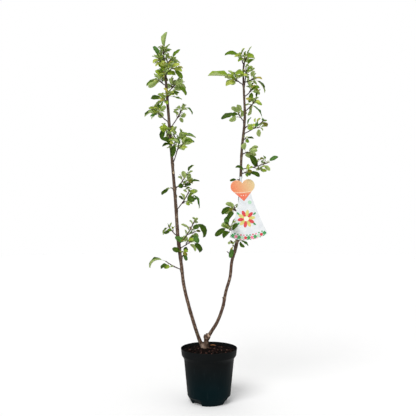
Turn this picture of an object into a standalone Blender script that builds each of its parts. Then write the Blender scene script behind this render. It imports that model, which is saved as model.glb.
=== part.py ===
# A young two-armed apple tree, trained as a narrow fork, in a black nursery pot with a paper tag.
# Metres, +Z up. +X runs to the right across the two arms, and the front of the plant looks along -Y.
# The origin is the middle of the pot's underside.

import math

import bpy
import bmesh
import numpy as np
from mathutils import Vector
from mathutils.bvhtree import BVHTree

# Driving dimensions
CLEAR = 0.0003
POT_HEIGHT = 0.234
POT_SIDES = 48
RIM_RADIUS = 0.1225
BAND_HEIGHT = 0.031
BAND_TAPER = 0.0035
SHOULDER_RADIUS = 0.1092
SHOULDER_DROP = 0.045
HEEL_RADIUS = 0.0938
HEEL_HEIGHT = 0.031
BASE_RADIUS = 0.0765
BASE_FLAT = 0.055
WALL = 0.0020
NOTCH_RISE = 0.014
NOTCH_COUNT = 3
NOTCH_TURN_DEG = 45.0
NOTCH_HALF_DEG = 15.0
NOTCH_RAMP_DEG = 7.5
COMPOST_TOP = 0.2290
COMPOST_EDGE = 0.2205
COMPOST_FLAT = 0.062

ARM_SIDES = 10
TWIG_SIDES = 5
SIDE_TWIG_SIDES = 4
TRUNK_SIDES = 14

TAG_CARD = 0.0008
HEART_WIDTH = 0.106
HEART_HEIGHT = 0.094
HEART_CENTRE = (0.1480, -0.0081, 0.9190)
HEART_TILT_DEG = 5.5
SKIRT_TOP = (0.1560, 0.9150)
SKIRT_FOOT = (0.1730, 0.7230)
SKIRT_TOP_WIDTH = 0.046
SKIRT_FOOT_WIDTH = 0.166
SKIRT_FLARE = 1.25
SKIRT_HEM_DROP = 0.020
SKIRT_FLAT = 0.26
SKIRT_BULGE = 0.010
SKIRT_CURL = 1.25
STRAP_HEIGHT = 0.976
STRAP_RADIUS = 0.0071
STRAP_WIDTH = 0.006
TONGUE_WIDTH = 0.008
TONGUE_FOOT = 0.930

# Stations of the limbs' centre lines, from the foot up: x, y, z, radius
LEFT_ARM = (
    (-0.0265, 0.0275, 0.2370, 0.0084),
    (-0.0370, 0.0260, 0.2510, 0.0078),
    (-0.0500, 0.0230, 0.2850, 0.0073),
    (-0.0665, 0.0180, 0.3370, 0.0071),
    (-0.0870, 0.0130, 0.4080, 0.0069),
    (-0.1100, 0.0090, 0.5040, 0.0067),
    (-0.1203, 0.0060, 0.5900, 0.0067),
    (-0.1346, 0.0040, 0.7030, 0.0071),
    (-0.1446, 0.0020, 0.8480, 0.0070),
    (-0.1523, 0.0010, 0.9470, 0.0068),
    (-0.1645, 0.0000, 1.0930, 0.0064),
    (-0.1754, 0.0000, 1.2350, 0.0062),
    (-0.1832, 0.0000, 1.3350, 0.0058),
    (-0.1911, 0.0000, 1.4400, 0.0047),
    (-0.1972, 0.0000, 1.5080, 0.0027),
)
RIGHT_ARM = (
    (-0.0050, 0.0280, 0.2740, 0.0085),
    (0.0090, 0.0270, 0.2965, 0.0073),
    (0.0370, 0.0235, 0.3430, 0.0067),
    (0.0610, 0.0190, 0.4090, 0.0064),
    (0.0741, 0.0150, 0.4770, 0.0061),
    (0.0920, 0.0110, 0.5400, 0.0061),
    (0.1006, 0.0080, 0.6120, 0.0061),
    (0.1206, 0.0050, 0.6880, 0.0070),
    (0.1300, 0.0030, 0.8000, 0.0064),
    (0.1382, 0.0010, 0.9820, 0.0058),
    (0.1426, 0.0000, 1.0930, 0.0056),
    (0.1539, 0.0000, 1.2040, 0.0056),
    (0.1561, 0.0000, 1.2620, 0.0054),
    (0.1518, 0.0000, 1.3510, 0.0046),
    (0.1496, 0.0000, 1.4350, 0.0041),
    (0.1540, 0.0000, 1.4780, 0.0034),
)
ARMS = {"left": LEFT_ARM, "right": RIGHT_ARM}
ARM_SPLIT = {"left": 0.520, "right": 0.590}
STUB = (
    (-0.0185, 0.0280, 0.2180, 0.0190),
    (-0.0180, 0.0280, 0.2300, 0.0182),
    (-0.0160, 0.0280, 0.2380, 0.0142),
    (-0.0125, 0.0280, 0.2470, 0.0110),
    (-0.0118, 0.0280, 0.2590, 0.0100),
    (-0.0100, 0.0280, 0.2670, 0.0116),
    (-0.0060, 0.0280, 0.2775, 0.0130),
    (-0.0035, 0.0280, 0.2865, 0.0096),
    (-0.0025, 0.0280, 0.2893, 0.0050),
)
SAWN_END = (
    (-0.0060, 0.0280, 0.2745, 0.0088),
    (-0.0150, 0.0265, 0.2765, 0.0090),
    (-0.0215, 0.0255, 0.2780, 0.0082),
)
CROWN = (
    (-0.0160, 0.0280, 0.2340, 0.0110),
    (-0.0270, 0.0275, 0.2360, 0.0106),
    (-0.0350, 0.0265, 0.2450, 0.0090),
)

# Each spray of leaves: the height where it leaves its arm, its bearing (0 is +X, 90 is away from
# the front), its rise above level, the length of its woody spur, its leaves, the length of a grown
# blade, and its leading leaf: the way it points seen from the front, its length, its bend and its
# roll (0 shows the front its edge, 90 its face).
SPRAYS = {
    "left": (
        (0.572, 186, 20, 0.074, 1, 0.062, (152, 0.070, 125, 10)),
        (0.648, 320, 10, 0.012, 4, 0.036, (300, 0.036, 50, 60)),
        (0.664, 8, 26, 0.062, 6, 0.044, (312, 0.052, 60, 60)),
        (0.683, 345, 42, 0.116, 10, 0.038, (326, 0.070, 80, 32)),
        (0.717, 190, 36, 0.054, 4, 0.032, (215, 0.036, 60, 20)),
        (0.830, 350, 48, 0.098, 7, 0.044, (326, 0.068, 70, 15)),
        (0.924, 12, 42, 0.084, 6, 0.038, (60, 0.038, 40, 60)),
        (0.932, 330, 8, 0.066, 7, 0.036, (20, 0.040, 40, 40)),
        (0.925, 200, 10, 0.010, 1, 0.034, (212, 0.040, 40, 75)),
        (1.030, 345, 68, 0.126, 16, 0.056, (8, 0.054, 40, 30)),
        (1.146, 300, 0, 0.008, 2, 0.032, (330, 0.034, 40, 60)),
        (1.124, 195, 62, 0.074, 9, 0.036, (252, 0.046, 30, 60)),
        (1.215, 170, 36, 0.076, 11, 0.044, (195, 0.046, 50, 50)),
        (1.188, 12, 50, 0.114, 9, 0.036, (345, 0.042, 80, 25)),
        (1.300, 215, 30, 0.018, 6, 0.044, (172, 0.046, 40, 75)),
        (1.315, 305, 40, 0.017, 5, 0.042, (20, 0.038, 40, 70)),
        (1.345, 25, 32, 0.052, 10, 0.046, (325, 0.050, 60, 60)),
        (1.375, 160, 30, 0.042, 10, 0.044, (195, 0.046, 50, 60)),
        (1.400, 262, 45, 0.024, 8, 0.044, (110, 0.046, 40, 70)),
        (1.425, 335, 30, 0.037, 9, 0.046, (250, 0.048, 50, 70)),
        (1.455, 30, 45, 0.047, 8, 0.042, (48, 0.046, 22, 72)),
        (1.450, 200, 50, 0.045, 9, 0.042, (105, 0.048, 40, 75)),
        (1.090, 300, 42, 0.046, 5, 0.052, (258, 0.052, 20, 72)),
    ),
    "right": (
        (0.632, 172, 24, 0.026, 0, 0.030, (180, 0.030, 40, 40)),
        (0.674, 215, 12, 0.010, 3, 0.040, (258, 0.042, 30, 65)),
        (0.700, 340, 0, 0.010, 2, 0.034, (335, 0.036, 50, 50)),
        (0.727, 182, 38, 0.046, 8, 0.059, (210, 0.060, 50, 70)),
        (0.812, 175, 50, 0.038, 6, 0.050, (203, 0.050, 50, 60)),
        (0.962, 195, 15, 0.007, 1, 0.028, (182, 0.028, 30, 60)),
        (0.992, 340, 8, 0.022, 4, 0.044, (350, 0.046, 40, 60)),
        (1.012, 10, 8, 0.116, 8, 0.038, (40, 0.044, 40, 60)),
        (1.075, 20, 24, 0.026, 4, 0.048, (308, 0.062, 40, 65)),
        (1.140, 350, 10, 0.008, 2, 0.028, (10, 0.030, 40, 50)),
        (1.165, 345, 24, 0.100, 8, 0.036, (104, 0.062, 55, 45)),
        (1.190, 20, 20, 0.012, 2, 0.036, (80, 0.036, 40, 60)),
        (1.216, 168, 46, 0.042, 5, 0.058, (188, 0.064, 30, 45)),
        (1.262, 8, 40, 0.068, 8, 0.042, (80, 0.042, 40, 60)),
        (1.327, 25, 35, 0.052, 7, 0.044, (260, 0.046, 40, 70)),
        (1.378, 185, 28, 0.052, 10, 0.050, (173, 0.090, 16, 42)),
        (1.388, 15, 20, 0.046, 5, 0.044, (308, 0.064, 68, 30)),
        (1.351, 335, 72, 0.104, 9, 0.036, (50, 0.038, 40, 60)),
        (1.462, 178, 74, 0.040, 5, 0.042, (160, 0.060, 52, 55)),
    ),
}
LEADERS = {
    "left": (92, 0.020, 10, 0.040, (84, 0.062, 12, 34)),
    "right": (62, 0.026, 8, 0.038, (112, 0.040, 30, 45)),
}
SEEDS = {"left": 4100, "right": 7300}

# The rule that every spray follows
SPUR_FOOT_RADIUS = 0.0022
SPUR_TIP_RADIUS = 0.0020
SIDE_TWIG_RADIUS = 0.0015
SIDE_TWIG_TIP_RADIUS = 0.0017
SPUR_STEPS = 3
SPUR_UPTURN_DEG = 12.0
LEAVES_FOR_A_SIDE_TWIG = 6
SIDE_TWIG_SHARE = 0.34
SIDE_TWIG_DEG = 48.0
GOLDEN_DEG = 137.508
INNER_TILT_DEG = 24.0
OUTER_TILT_DEG = 92.0
INNER_SIZE = 0.62
SKYWARD = 0.25
PETIOLE_SHARE = 0.34
HALF_WIDTH_SHARE = 0.32
PETIOLE_RADIUS = 0.0008
KEEL_SHARE = 0.045
BLADE_STATIONS = ((0.0, 0.10), (0.30, 0.95), (0.68, 0.82))
ROLL_DEG = (15.0, 85.0)
BEND_DEG = (15.0, 75.0)
ROOT_SINK = 0.0012
TRIES = 10
TOUCH = 0.0008


def material(name, colour, roughness):
    made = bpy.data.materials.new(name)
    made.use_nodes = True
    shader = made.node_tree.nodes["Principled BSDF"]
    shader.inputs["Base Color"].default_value = (*colour, 1.0)
    shader.inputs["Roughness"].default_value = roughness
    shader.inputs["Metallic"].default_value = 0.0
    return made


def mesh_object(name, points, faces, finish):
    mesh = bpy.data.meshes.new(name)
    mesh.from_pydata([tuple(p) for p in points], [], faces)
    work = bmesh.new()
    work.from_mesh(mesh)
    bmesh.ops.recalc_face_normals(work, faces=work.faces)
    work.to_mesh(mesh)
    work.free()
    mesh.materials.append(finish)
    made = bpy.data.objects.new(name, mesh)
    bpy.context.scene.collection.objects.link(made)
    return made


def remove(*objects):
    for each in objects:
        mesh = each.data
        bpy.data.objects.remove(each)
        bpy.data.meshes.remove(mesh)


def is_closed(mesh):
    work = bmesh.new()
    work.from_mesh(mesh)
    closed = len(work.faces) > 0 and all(len(edge.link_faces) == 2 for edge in work.edges)
    work.free()
    return closed


def keep_largest_piece(mesh):
    # A join or a cut can leave a loose scrap, which is dropped.
    work = bmesh.new()
    work.from_mesh(mesh)
    unseen = set(work.verts)
    groups = []
    while unseen:
        group = {unseen.pop()}
        front = list(group)
        while front:
            vert = front.pop()
            near = {edge.other_vert(vert) for edge in vert.link_edges} & unseen
            unseen -= near
            group |= near
            front.extend(near)
        groups.append(group)
    groups.sort(key=len)
    loose = [vert for group in groups[:-1] for vert in group]
    bmesh.ops.delete(work, geom=loose, context="VERTS")
    work.to_mesh(mesh)
    work.free()
    return len(groups) - 1


def apply_boolean(target, operation, operand):
    # The operand is one object or a collection. EXACT is tried first, and MANIFOLD where it fails.
    for solver in ("EXACT", "MANIFOLD"):
        cut = target.modifiers.new("join", "BOOLEAN")
        cut.operation = operation
        cut.solver = solver
        if isinstance(operand, bpy.types.Collection):
            cut.operand_type = "COLLECTION"
            cut.collection = operand
        else:
            cut.object = operand
        bpy.context.view_layer.update()
        graph = bpy.context.evaluated_depsgraph_get()
        mesh = bpy.data.meshes.new_from_object(target.evaluated_get(graph))
        target.modifiers.clear()
        keep_largest_piece(mesh)
        if is_closed(mesh):
            break
    old = target.data
    target.data = mesh
    bpy.data.meshes.remove(old)


def loft(rings, tip=None):
    # A closed solid through rings of equal size, with a flat foot and a flat top or a point.
    # Each four-sided patch is folded along its shorter diagonal.
    size = len(rings[0])
    points = [p for ring in rings for p in ring]
    faces = [(0, i + 1, i) for i in range(1, size - 1)]
    for k in range(len(rings) - 1):
        for i in range(size):
            a, b = k * size + i, k * size + (i + 1) % size
            if math.dist(points[a], points[b + size]) < math.dist(points[b], points[a + size]) + 1e-7:
                faces += [(a, b, b + size), (a, b + size, a + size)]
            else:
                faces += [(a, b, a + size), (b, b + size, a + size)]
    top = (len(rings) - 1) * size
    if tip is None:
        faces += [(top, top + i, top + i + 1) for i in range(1, size - 1)]
    else:
        points.append(tip)
        faces += [(top + i, top + (i + 1) % size, len(points) - 1) for i in range(size)]
    return points, faces


def unit(vector):
    return vector / np.linalg.norm(vector)


def turned(vector, axis, angle):
    return (
        vector * math.cos(angle)
        + np.cross(axis, vector) * math.sin(angle)
        + axis * (axis @ vector) * (1 - math.cos(angle))
    )


def across(direction):
    # A unit vector square to the direction, the same each time.
    helper = np.array((0.0, 1.0, 0.0))
    if abs(direction[1]) > 0.9:
        helper = np.array((1.0, 0.0, 0.0))
    return unit(np.cross(direction, helper))


def smooth_line(stations, steps):
    # Catmull-Rom through the stations; each column, the radius too, is smoothed alike.
    knots = np.array(stations)
    ends = np.vstack((2 * knots[0] - knots[1], knots, 2 * knots[-1] - knots[-2]))
    line = []
    for i in range(1, len(ends) - 2):
        a, b, c, d = ends[i - 1], ends[i], ends[i + 1], ends[i + 2]
        for t in np.arange(steps) / steps:
            bend = 2 * a - 5 * b + 4 * c - d
            twist = 3 * b - a - 3 * c + d
            line.append(0.5 * (2 * b + (c - a) * t + bend * t**2 + twist * t**3))
    line.append(ends[-2])
    return np.array(line)


def tube_rings(line, sides, grow=0.0, end_grow=0.0):
    # Round rings square to the line. grow widens the tube and end_grow lengthens both its ends.
    centres = line[:, :3].copy()
    along = np.gradient(centres, axis=0)
    along = np.array([unit(a) for a in along])
    centres[0] -= along[0] * end_grow
    centres[-1] += along[-1] * end_grow
    side = across(along[0])
    rings = []
    for centre, ahead, radius in zip(centres, along, line[:, 3]):
        side = unit(side - ahead * (side @ ahead))
        other = np.cross(ahead, side)
        ring = []
        for k in range(sides):
            turn = 2 * math.pi * k / sides
            spoke = side * math.cos(turn) + other * math.sin(turn)
            ring.append(centre + spoke * (radius + grow))
        rings.append(ring)
    return rings


def tube(line, sides, grow=0.0, end_grow=0.0):
    return loft(tube_rings(line, sides, grow, end_grow))


def station_at(line, height):
    # The point and radius of an arm's line at a height above the ground.
    heights = line[:, 2]
    return np.array([np.interp(height, heights, line[:, k]) for k in range(4)])


def notch_lift(angle):
    # How far the pot's heel is raised, in metres, at an angle round the pot.
    spacing = 360.0 / NOTCH_COUNT
    off = abs((math.degrees(angle) - NOTCH_TURN_DEG) % spacing - spacing / 2)
    if off >= NOTCH_HALF_DEG + NOTCH_RAMP_DEG:
        return 0.0
    return NOTCH_RISE * min(1.0, (NOTCH_HALF_DEG + NOTCH_RAMP_DEG - off) / NOTCH_RAMP_DEG)


def turned_rings(profile):
    # A round of points for each (radius, height, lifted) row of the profile.
    rings = []
    for radius, height, lifted in profile:
        ring = []
        for k in range(POT_SIDES):
            angle = 2 * math.pi * k / POT_SIDES
            lift = notch_lift(angle) if lifted else 0.0
            ring.append((radius * math.cos(angle), radius * math.sin(angle), height + lift))
        rings.append(ring)
    return rings


def pot_walls():
    # (outside, inside) profiles from the underside up, as (radius, height, lifted).
    band_foot = POT_HEIGHT - BAND_HEIGHT
    shoulder = POT_HEIGHT - SHOULDER_DROP
    outside = [
        (BASE_FLAT, 0.0, False),
        (BASE_RADIUS, 0.0, True),
        (HEEL_RADIUS, HEEL_HEIGHT, False),
        (SHOULDER_RADIUS, shoulder, False),
        (RIM_RADIUS - BAND_TAPER, band_foot, False),
        (RIM_RADIUS, POT_HEIGHT - WALL / 2, False),
        (RIM_RADIUS - WALL / 4, POT_HEIGHT, False),
    ]
    inside = [
        (BASE_FLAT, WALL, False),
        (BASE_RADIUS - WALL / 2, WALL, True),
        (HEEL_RADIUS - WALL, HEEL_HEIGHT + WALL / 4, False),
        (SHOULDER_RADIUS - WALL, shoulder + WALL / 4, False),
        (RIM_RADIUS - BAND_TAPER - WALL, band_foot + WALL / 2, False),
        (RIM_RADIUS - WALL, POT_HEIGHT - WALL / 4, False),
        (RIM_RADIUS - WALL + WALL / 4, POT_HEIGHT, False),
    ]
    return outside, inside


def build_pot(finish):
    outside, inside = pot_walls()
    points, faces = loft(turned_rings(outside + inside[::-1]))
    return mesh_object("pot", points, faces, finish)


def build_compost(finish):
    _, inside = pot_walls()
    rows = [(r - CLEAR, z + CLEAR, lifted) for r, z, lifted in inside[:5]]
    low, high = inside[4], inside[5]
    share = (COMPOST_EDGE - low[1]) / (high[1] - low[1])
    edge = low[0] + (high[0] - low[0]) * share - CLEAR
    rows += [(edge, COMPOST_EDGE, False), (COMPOST_FLAT, COMPOST_TOP, False)]
    points, faces = loft(turned_rings(rows))
    return mesh_object("compost", points, faces, finish)


def trunk_solid(name, finish, grow=0.0):
    # The stub, its swollen head with a sawn end, and the crown's lobe, joined and cut level.
    whole = mesh_object(name, *tube(np.array(STUB), TRUNK_SIDES, grow, grow), finish)
    for limb in (SAWN_END, CROWN):
        other = mesh_object("limb", *tube(np.array(limb), TRUNK_SIDES, grow, grow), finish)
        apply_boolean(whole, "UNION", other)
        remove(other)
    low, high, reach = 0.15, COMPOST_TOP + CLEAR - grow, 0.1
    corners = [(x, y, z) for z in (low, high) for x, y in ((-reach, -reach), (reach, -reach),
                                                           (reach, reach), (-reach, reach))]
    points, faces = loft([corners[:4], corners[4:]])
    ground = mesh_object("ground", points, faces, finish)
    apply_boolean(whole, "DIFFERENCE", ground)
    remove(ground)
    return whole


def build_arms(finish, trunk_cutter):
    # Each arm is split at its bend into two nodes, end to end.
    for side, stations in ARMS.items():
        line = smooth_line(stations, 2)
        split = station_at(line, ARM_SPLIT[side])
        lower = np.vstack((line[line[:, 2] < split[2] - 0.01], split))
        upper = np.vstack((split, line[line[:, 2] > split[2] + 0.01]))
        lower[-1, :3] -= unit(lower[-1, :3] - lower[-2, :3]) * CLEAR / 2
        upper[0, :3] += unit(upper[1, :3] - upper[0, :3]) * CLEAR / 2
        # One shared direction at the split keeps the two end faces parallel.
        rings_low = tube_rings(lower, ARM_SIDES)
        rings_high = tube_rings(upper, ARM_SIDES)
        shift = upper[0, :3] - lower[-1, :3]
        rings_high[0] = [point + shift for point in rings_low[-1]]
        foot = mesh_object(f"{side}_arm_lower", *loft(rings_low), finish)
        apply_boolean(foot, "DIFFERENCE", trunk_cutter)
        mesh_object(f"{side}_arm_upper", *loft(rings_high), finish)


def arm_cutter(side, finish):
    line = smooth_line(ARMS[side], 2)
    grow = CLEAR / math.cos(math.pi / ARM_SIDES)
    return mesh_object("cutter", *tube(line, ARM_SIDES, grow, CLEAR), finish)


def heart_outline(count=9):
    # Two round lobes whose outer sides run down to a point, counter-clockwise from the tip.
    lobe = HEART_WIDTH * 0.262
    gap = HEART_WIDTH / 2 - lobe
    top = HEART_HEIGHT - lobe
    drop = math.hypot(gap, top)
    tangent = math.atan2(-top, -gap) + math.acos(lobe / drop)
    notch = math.pi - math.acos(min(1.0, gap / lobe))
    right = [
        (gap + lobe * math.cos(a), top + lobe * math.sin(a))
        for a in np.linspace(tangent, notch, count)
    ]
    left = [(-x, z) for x, z in reversed(right[:-1])]
    middle = HEART_HEIGHT / 2
    return [(x, z - middle) for x, z in [(0.0, 0.0), *right, *left]]


def heart_solid():
    tilt = math.radians(HEART_TILT_DEG)
    cx, cy, cz = HEART_CENTRE
    rings = []
    for y in (cy - TAG_CARD / 2, cy + TAG_CARD / 2):
        rings.append([
            (cx + x * math.cos(tilt) - z * math.sin(tilt), y,
             cz + x * math.sin(tilt) + z * math.cos(tilt))
            for x, z in heart_outline()
        ])
    size = len(rings[0])
    points = rings[0] + rings[1]
    front = tuple(range(size))
    back = tuple(range(2 * size - 1, size - 1, -1))
    sides = [(k, (k + 1) % size, (k + 1) % size + size, k + size) for k in range(size)]
    return points, [front, back, *sides]


def skirt_point(u, t):
    # u runs from -1 to 1 across the card, and t from 0 at its top to 1 at its hem.
    centre_x = SKIRT_TOP[0] + (SKIRT_FOOT[0] - SKIRT_TOP[0]) * t
    centre_z = SKIRT_TOP[1] + (SKIRT_FOOT[1] - SKIRT_TOP[1]) * t
    half = (SKIRT_TOP_WIDTH + (SKIRT_FOOT_WIDTH - SKIRT_TOP_WIDTH) * t**SKIRT_FLARE) / 2
    lean = (SKIRT_FOOT[0] - SKIRT_TOP[0]) / (SKIRT_TOP[1] - SKIRT_FOOT[1])
    hem = -SKIRT_HEM_DROP * t * (1 - u * u) + lean * half * u
    bulge = SKIRT_BULGE * max(0.0, t - SKIRT_FLAT) / (1 - SKIRT_FLAT) * (1 - SKIRT_CURL * u * u)
    depth = HEART_CENTRE[1] + TAG_CARD + CLEAR - bulge
    return np.array((centre_x + u * half, depth, centre_z + hem))


def skirt_solid(across_count=10, down_count=6):
    grid = [
        [skirt_point(u, t) for u in np.linspace(-1, 1, across_count + 1)]
        for t in np.linspace(0, 1, down_count + 1)
    ]
    half = np.array((0.0, TAG_CARD / 2, 0.0))
    rings = []
    for row in grid:
        rings.append([p - half for p in row] + [p + half for p in reversed(row)])
    # A ring round each row; its ends are closed by strips rather than by fans.
    size = len(rings[0])
    points, faces = loft(rings)
    faces = faces[size - 2:-(size - 2)]
    top = (len(rings) - 1) * size
    for start in (0, top):
        for k in range(across_count):
            a, b = start + k, start + k + 1
            c, d = start + size - 2 - k, start + size - 1 - k
            faces.append((a, b, c, d))
    return points, faces


def tongue_solid():
    # The strap's tongue: an L, thin in front of the arm and deeper where it meets the band.
    line = smooth_line(RIGHT_ARM, 2)
    x, y, z, _ = station_at(line, STRAP_HEIGHT)
    front = HEART_CENTRE[1] + TAG_CARD / 2 + CLEAR
    back = max(front + TAG_CARD, y - STRAP_RADIUS)
    low, high = TONGUE_FOOT, z + STRAP_WIDTH / 2
    left, right = x - TONGUE_WIDTH / 2, x + TONGUE_WIDTH / 2
    shelf = high - STRAP_WIDTH
    outline = [(front, low), (front + TAG_CARD, low), (front + TAG_CARD, shelf), (back, shelf),
               (back, high), (front, high)]
    points = [(side_x, depth, up) for side_x in (left, right) for depth, up in outline]
    count = len(outline)
    faces = [(k, (k + 1) % count, (k + 1) % count + count, k + count) for k in range(count)]
    faces += [(0, 1, 2, 5), (2, 3, 4, 5), (6, 7, 8, 11), (8, 9, 10, 11)]
    return points, faces


def build_strap(finish):
    # A band round the right arm, with a tongue in front that carries the cards.
    x, y, z, _ = station_at(smooth_line(RIGHT_ARM, 2), STRAP_HEIGHT)
    steps = 16
    rings = []
    for radius, height in (
        (STRAP_RADIUS, -0.5), (STRAP_RADIUS + TAG_CARD, -0.5),
        (STRAP_RADIUS + TAG_CARD, 0.5), (STRAP_RADIUS, 0.5),
    ):
        rings.append([
            (x + radius * math.cos(2 * math.pi * (k + 0.5) / steps),
             y + radius * math.sin(2 * math.pi * (k + 0.5) / steps),
             z + height * STRAP_WIDTH)
            for k in range(steps)
        ])
    points = [p for ring in rings for p in ring]
    faces = [
        (r * steps + k, r * steps + (k + 1) % steps,
         (r + 1) % 4 * steps + (k + 1) % steps, (r + 1) % 4 * steps + k)
        for r in range(4) for k in range(steps)
    ]
    band = mesh_object("tag_strap", points, faces, finish)
    tongue = mesh_object("tongue", *tongue_solid(), finish)
    apply_boolean(band, "UNION", tongue)
    remove(tongue)
    return band


def spur_line(foot, direction, length, rng):
    # The woody spur, from the middle of its arm outwards, turning a little towards the sky.
    points = [foot]
    heading = unit(direction)
    for k in range(SPUR_STEPS):
        level = unit(np.cross(heading, (0.0, 0.0, 1.0)) + np.array((1e-9, 0.0, 0.0)))
        heading = turned(heading, level, math.radians(SPUR_UPTURN_DEG) / SPUR_STEPS)
        heading = unit(heading + rng.normal(0, 0.05, 3))
        points.append(points[-1] + heading * length / SPUR_STEPS)
    radii = np.linspace(SPUR_FOOT_RADIUS, SPUR_TIP_RADIUS, SPUR_STEPS + 1)
    return np.column_stack((np.array(points), radii))


def side_twig_line(spur, share, number, length, rng):
    at = share * SPUR_STEPS
    low = min(int(at), SPUR_STEPS - 1)
    foot = spur[low] + (spur[low + 1] - spur[low]) * (at - low)
    ahead = unit(spur[low + 1, :3] - spur[low, :3])
    spoke = turned(across(ahead), ahead, math.radians(GOLDEN_DEG) * number + rng.uniform(0, 6.28))
    lean = math.radians(SIDE_TWIG_DEG)
    heading = unit(ahead * math.cos(lean) + spoke * math.sin(lean) + np.array((0, 0, 0.25)))
    points = [foot[:3] + heading * length * k / 2 for k in range(3)]
    radii = np.linspace(SIDE_TWIG_RADIUS, SIDE_TWIG_TIP_RADIUS, 3)
    return np.column_stack((np.array(points), radii))


def leaf_frames(leaf, lengths):
    # Points, directions and upward normals at some lengths from the root along a bending leaf.
    total = leaf["petiole"] + leaf["blade"]
    steps = 24
    point = leaf["root"].copy()
    walked = [(0.0, point.copy())]
    side = unit(np.cross(leaf["direction"], leaf["normal"]))
    for k in range(steps):
        share = (k + 0.5) / steps
        heading = turned(leaf["direction"], side, -leaf["bend"] * share**1.4)
        point = point + heading * total / steps
        walked.append((total * (k + 1) / steps, point.copy()))
    along = np.array([w[0] for w in walked])
    track = np.array([w[1] for w in walked])
    frames = []
    for length in lengths:
        spot = np.array([np.interp(length, along, track[:, k]) for k in range(3)])
        heading = turned(leaf["direction"], side, -leaf["bend"] * (length / total) ** 1.4)
        frames.append((spot, heading, np.cross(side, heading), side))
    return frames


def leaf_solid(leaf, with_petiole=True):
    # A three-sided petiole and a pointed blade with a keel below, as one closed solid.
    blade, petiole = leaf["blade"], leaf["petiole"]
    lengths = [0.0, *[petiole + blade * t for t, _ in BLADE_STATIONS], petiole + blade]
    frames = leaf_frames(leaf, lengths)
    rings = []
    for (spot, _, up, side), share in zip(frames, (0.0, *[w for _, w in BLADE_STATIONS])):
        half = max(PETIOLE_RADIUS, blade * leaf["width"] * share)
        keel = max(PETIOLE_RADIUS * 1.5, blade * KEEL_SHARE * min(1.0, share * 1.2))
        rings.append([spot + side * half, spot - side * half, spot - up * keel])
    if not with_petiole:
        rings = rings[1:]
    return loft(rings, tip=frames[-1][0])


def leaf_of(root, heading, blade, rng, lead=None):
    # The blade's normal starts towards the sky and rolls to the front or the back.
    direction = unit(heading)
    normal = np.array((0.0, 0.0, 1.0)) - direction * direction[2]
    if np.linalg.norm(normal) < 0.15:
        normal = np.array((0.0, -1.0, 0.0)) - direction * -direction[1]
    normal = unit(normal)
    roll = math.radians(rng.uniform(*ROLL_DEG))
    bend = math.radians(rng.uniform(*BEND_DEG))
    if lead:
        bend, roll = math.radians(lead[2]), math.radians(lead[3])
    forward = turned(normal, direction, roll)
    backward = turned(normal, direction, -roll)
    if backward[1] < forward[1]:
        forward, backward = backward, forward
    seen = lead is not None or root[1] + 0.03 * direction[1] < rng.uniform(-0.02, 0.02)
    return {
        "root": root,
        "direction": direction,
        "normal": forward if seen else backward,
        "blade": blade,
        "petiole": blade * PETIOLE_SHARE * rng.uniform(0.8, 1.2),
        "width": HALF_WIDTH_SHARE * rng.uniform(0.85, 1.12),
        "bend": bend,
    }


def tree_of(solid):
    points, faces = solid
    points = np.array(points)
    middle = (points.min(0) + points.max(0)) / 2
    reach = np.linalg.norm(points - middle, axis=1).max()
    bvh = BVHTree.FromPolygons([Vector(p) for p in points], faces, epsilon=TOUCH)
    return middle, reach, bvh


def touches(tree, others):
    middle, reach, bvh = tree
    for other_middle, other_reach, other in others:
        if np.linalg.norm(middle - other_middle) > reach + other_reach + 2 * TOUCH:
            continue
        if bvh.overlap(other):
            return True
    return False


def grow_spray(spur, leaves, blade, lead, rng, limbs, taken):
    # Twigs and leaves by one seeded rule; what would touch a limb or another spray is skipped.
    twigs = [(spur, TWIG_SIDES)]
    reach = np.linalg.norm(spur[-1, :3] - spur[0, :3])
    for number in range(leaves // LEAVES_FOR_A_SIDE_TWIG):
        for _ in range(TRIES):
            share = min(0.9, 0.46 + 0.26 * number + rng.uniform(-0.05, 0.05))
            twig = side_twig_line(spur, share, number, reach * SIDE_TWIG_SHARE, rng)
            if not touches(tree_of(tube(twig, SIDE_TWIG_SIDES)), limbs + taken):
                twigs.append((twig, SIDE_TWIG_SIDES))
                break
    wood = [tree_of(tube(line[1:], sides)) for line, sides in twigs]
    kept = []
    blades = []
    whole = []
    rounds = max(1, math.ceil(leaves / len(twigs)) - 1)
    for number in range(leaves):
        line = twigs[number % len(twigs)][0]
        share = number // len(twigs) / rounds
        ahead = unit(line[-1, :3] - line[-2, :3])
        for attempt in range(TRIES):
            back = min(0.95, 0.04 + 0.75 * share * rng.uniform(0.6, 1.3))
            root = line[-1, :3] + (line[-2, :3] - line[-1, :3]) * back
            turn = math.radians(GOLDEN_DEG) * (number + attempt * 0.37) + rng.uniform(-0.4, 0.4)
            tilt = math.radians(INNER_TILT_DEG + (OUTER_TILT_DEG - INNER_TILT_DEG) * share)
            tilt *= rng.uniform(0.85, 1.15)
            side = turned(across(ahead), ahead, turn)
            heading = unit(ahead * math.cos(tilt) + side * math.sin(tilt))
            heading = heading + np.array((0.0, 0.0, SKYWARD))
            size = blade * (INNER_SIZE + (1.04 - INNER_SIZE) * share) * rng.uniform(0.88, 1.12)
            if number == 0:
                way = math.radians(lead[0] + 12 * attempt * (-1) ** attempt)
                heading = np.array((math.cos(way), -0.12, math.sin(way)))
                size = lead[1]
            leaf = leaf_of(root, heading, size, rng, lead if number == 0 else None)
            leaf["root"] = leaf["root"] - leaf["direction"] * ROOT_SINK
            leaf["share"] = share
            solid = tree_of(leaf_solid(leaf))
            flat = tree_of(leaf_solid(leaf, with_petiole=False))
            if touches(solid, limbs + taken) or touches(flat, blades + wood):
                continue
            kept.append(leaf)
            blades.append(flat)
            whole.append(solid)
            break
    return twigs, kept, wood + whole


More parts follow.
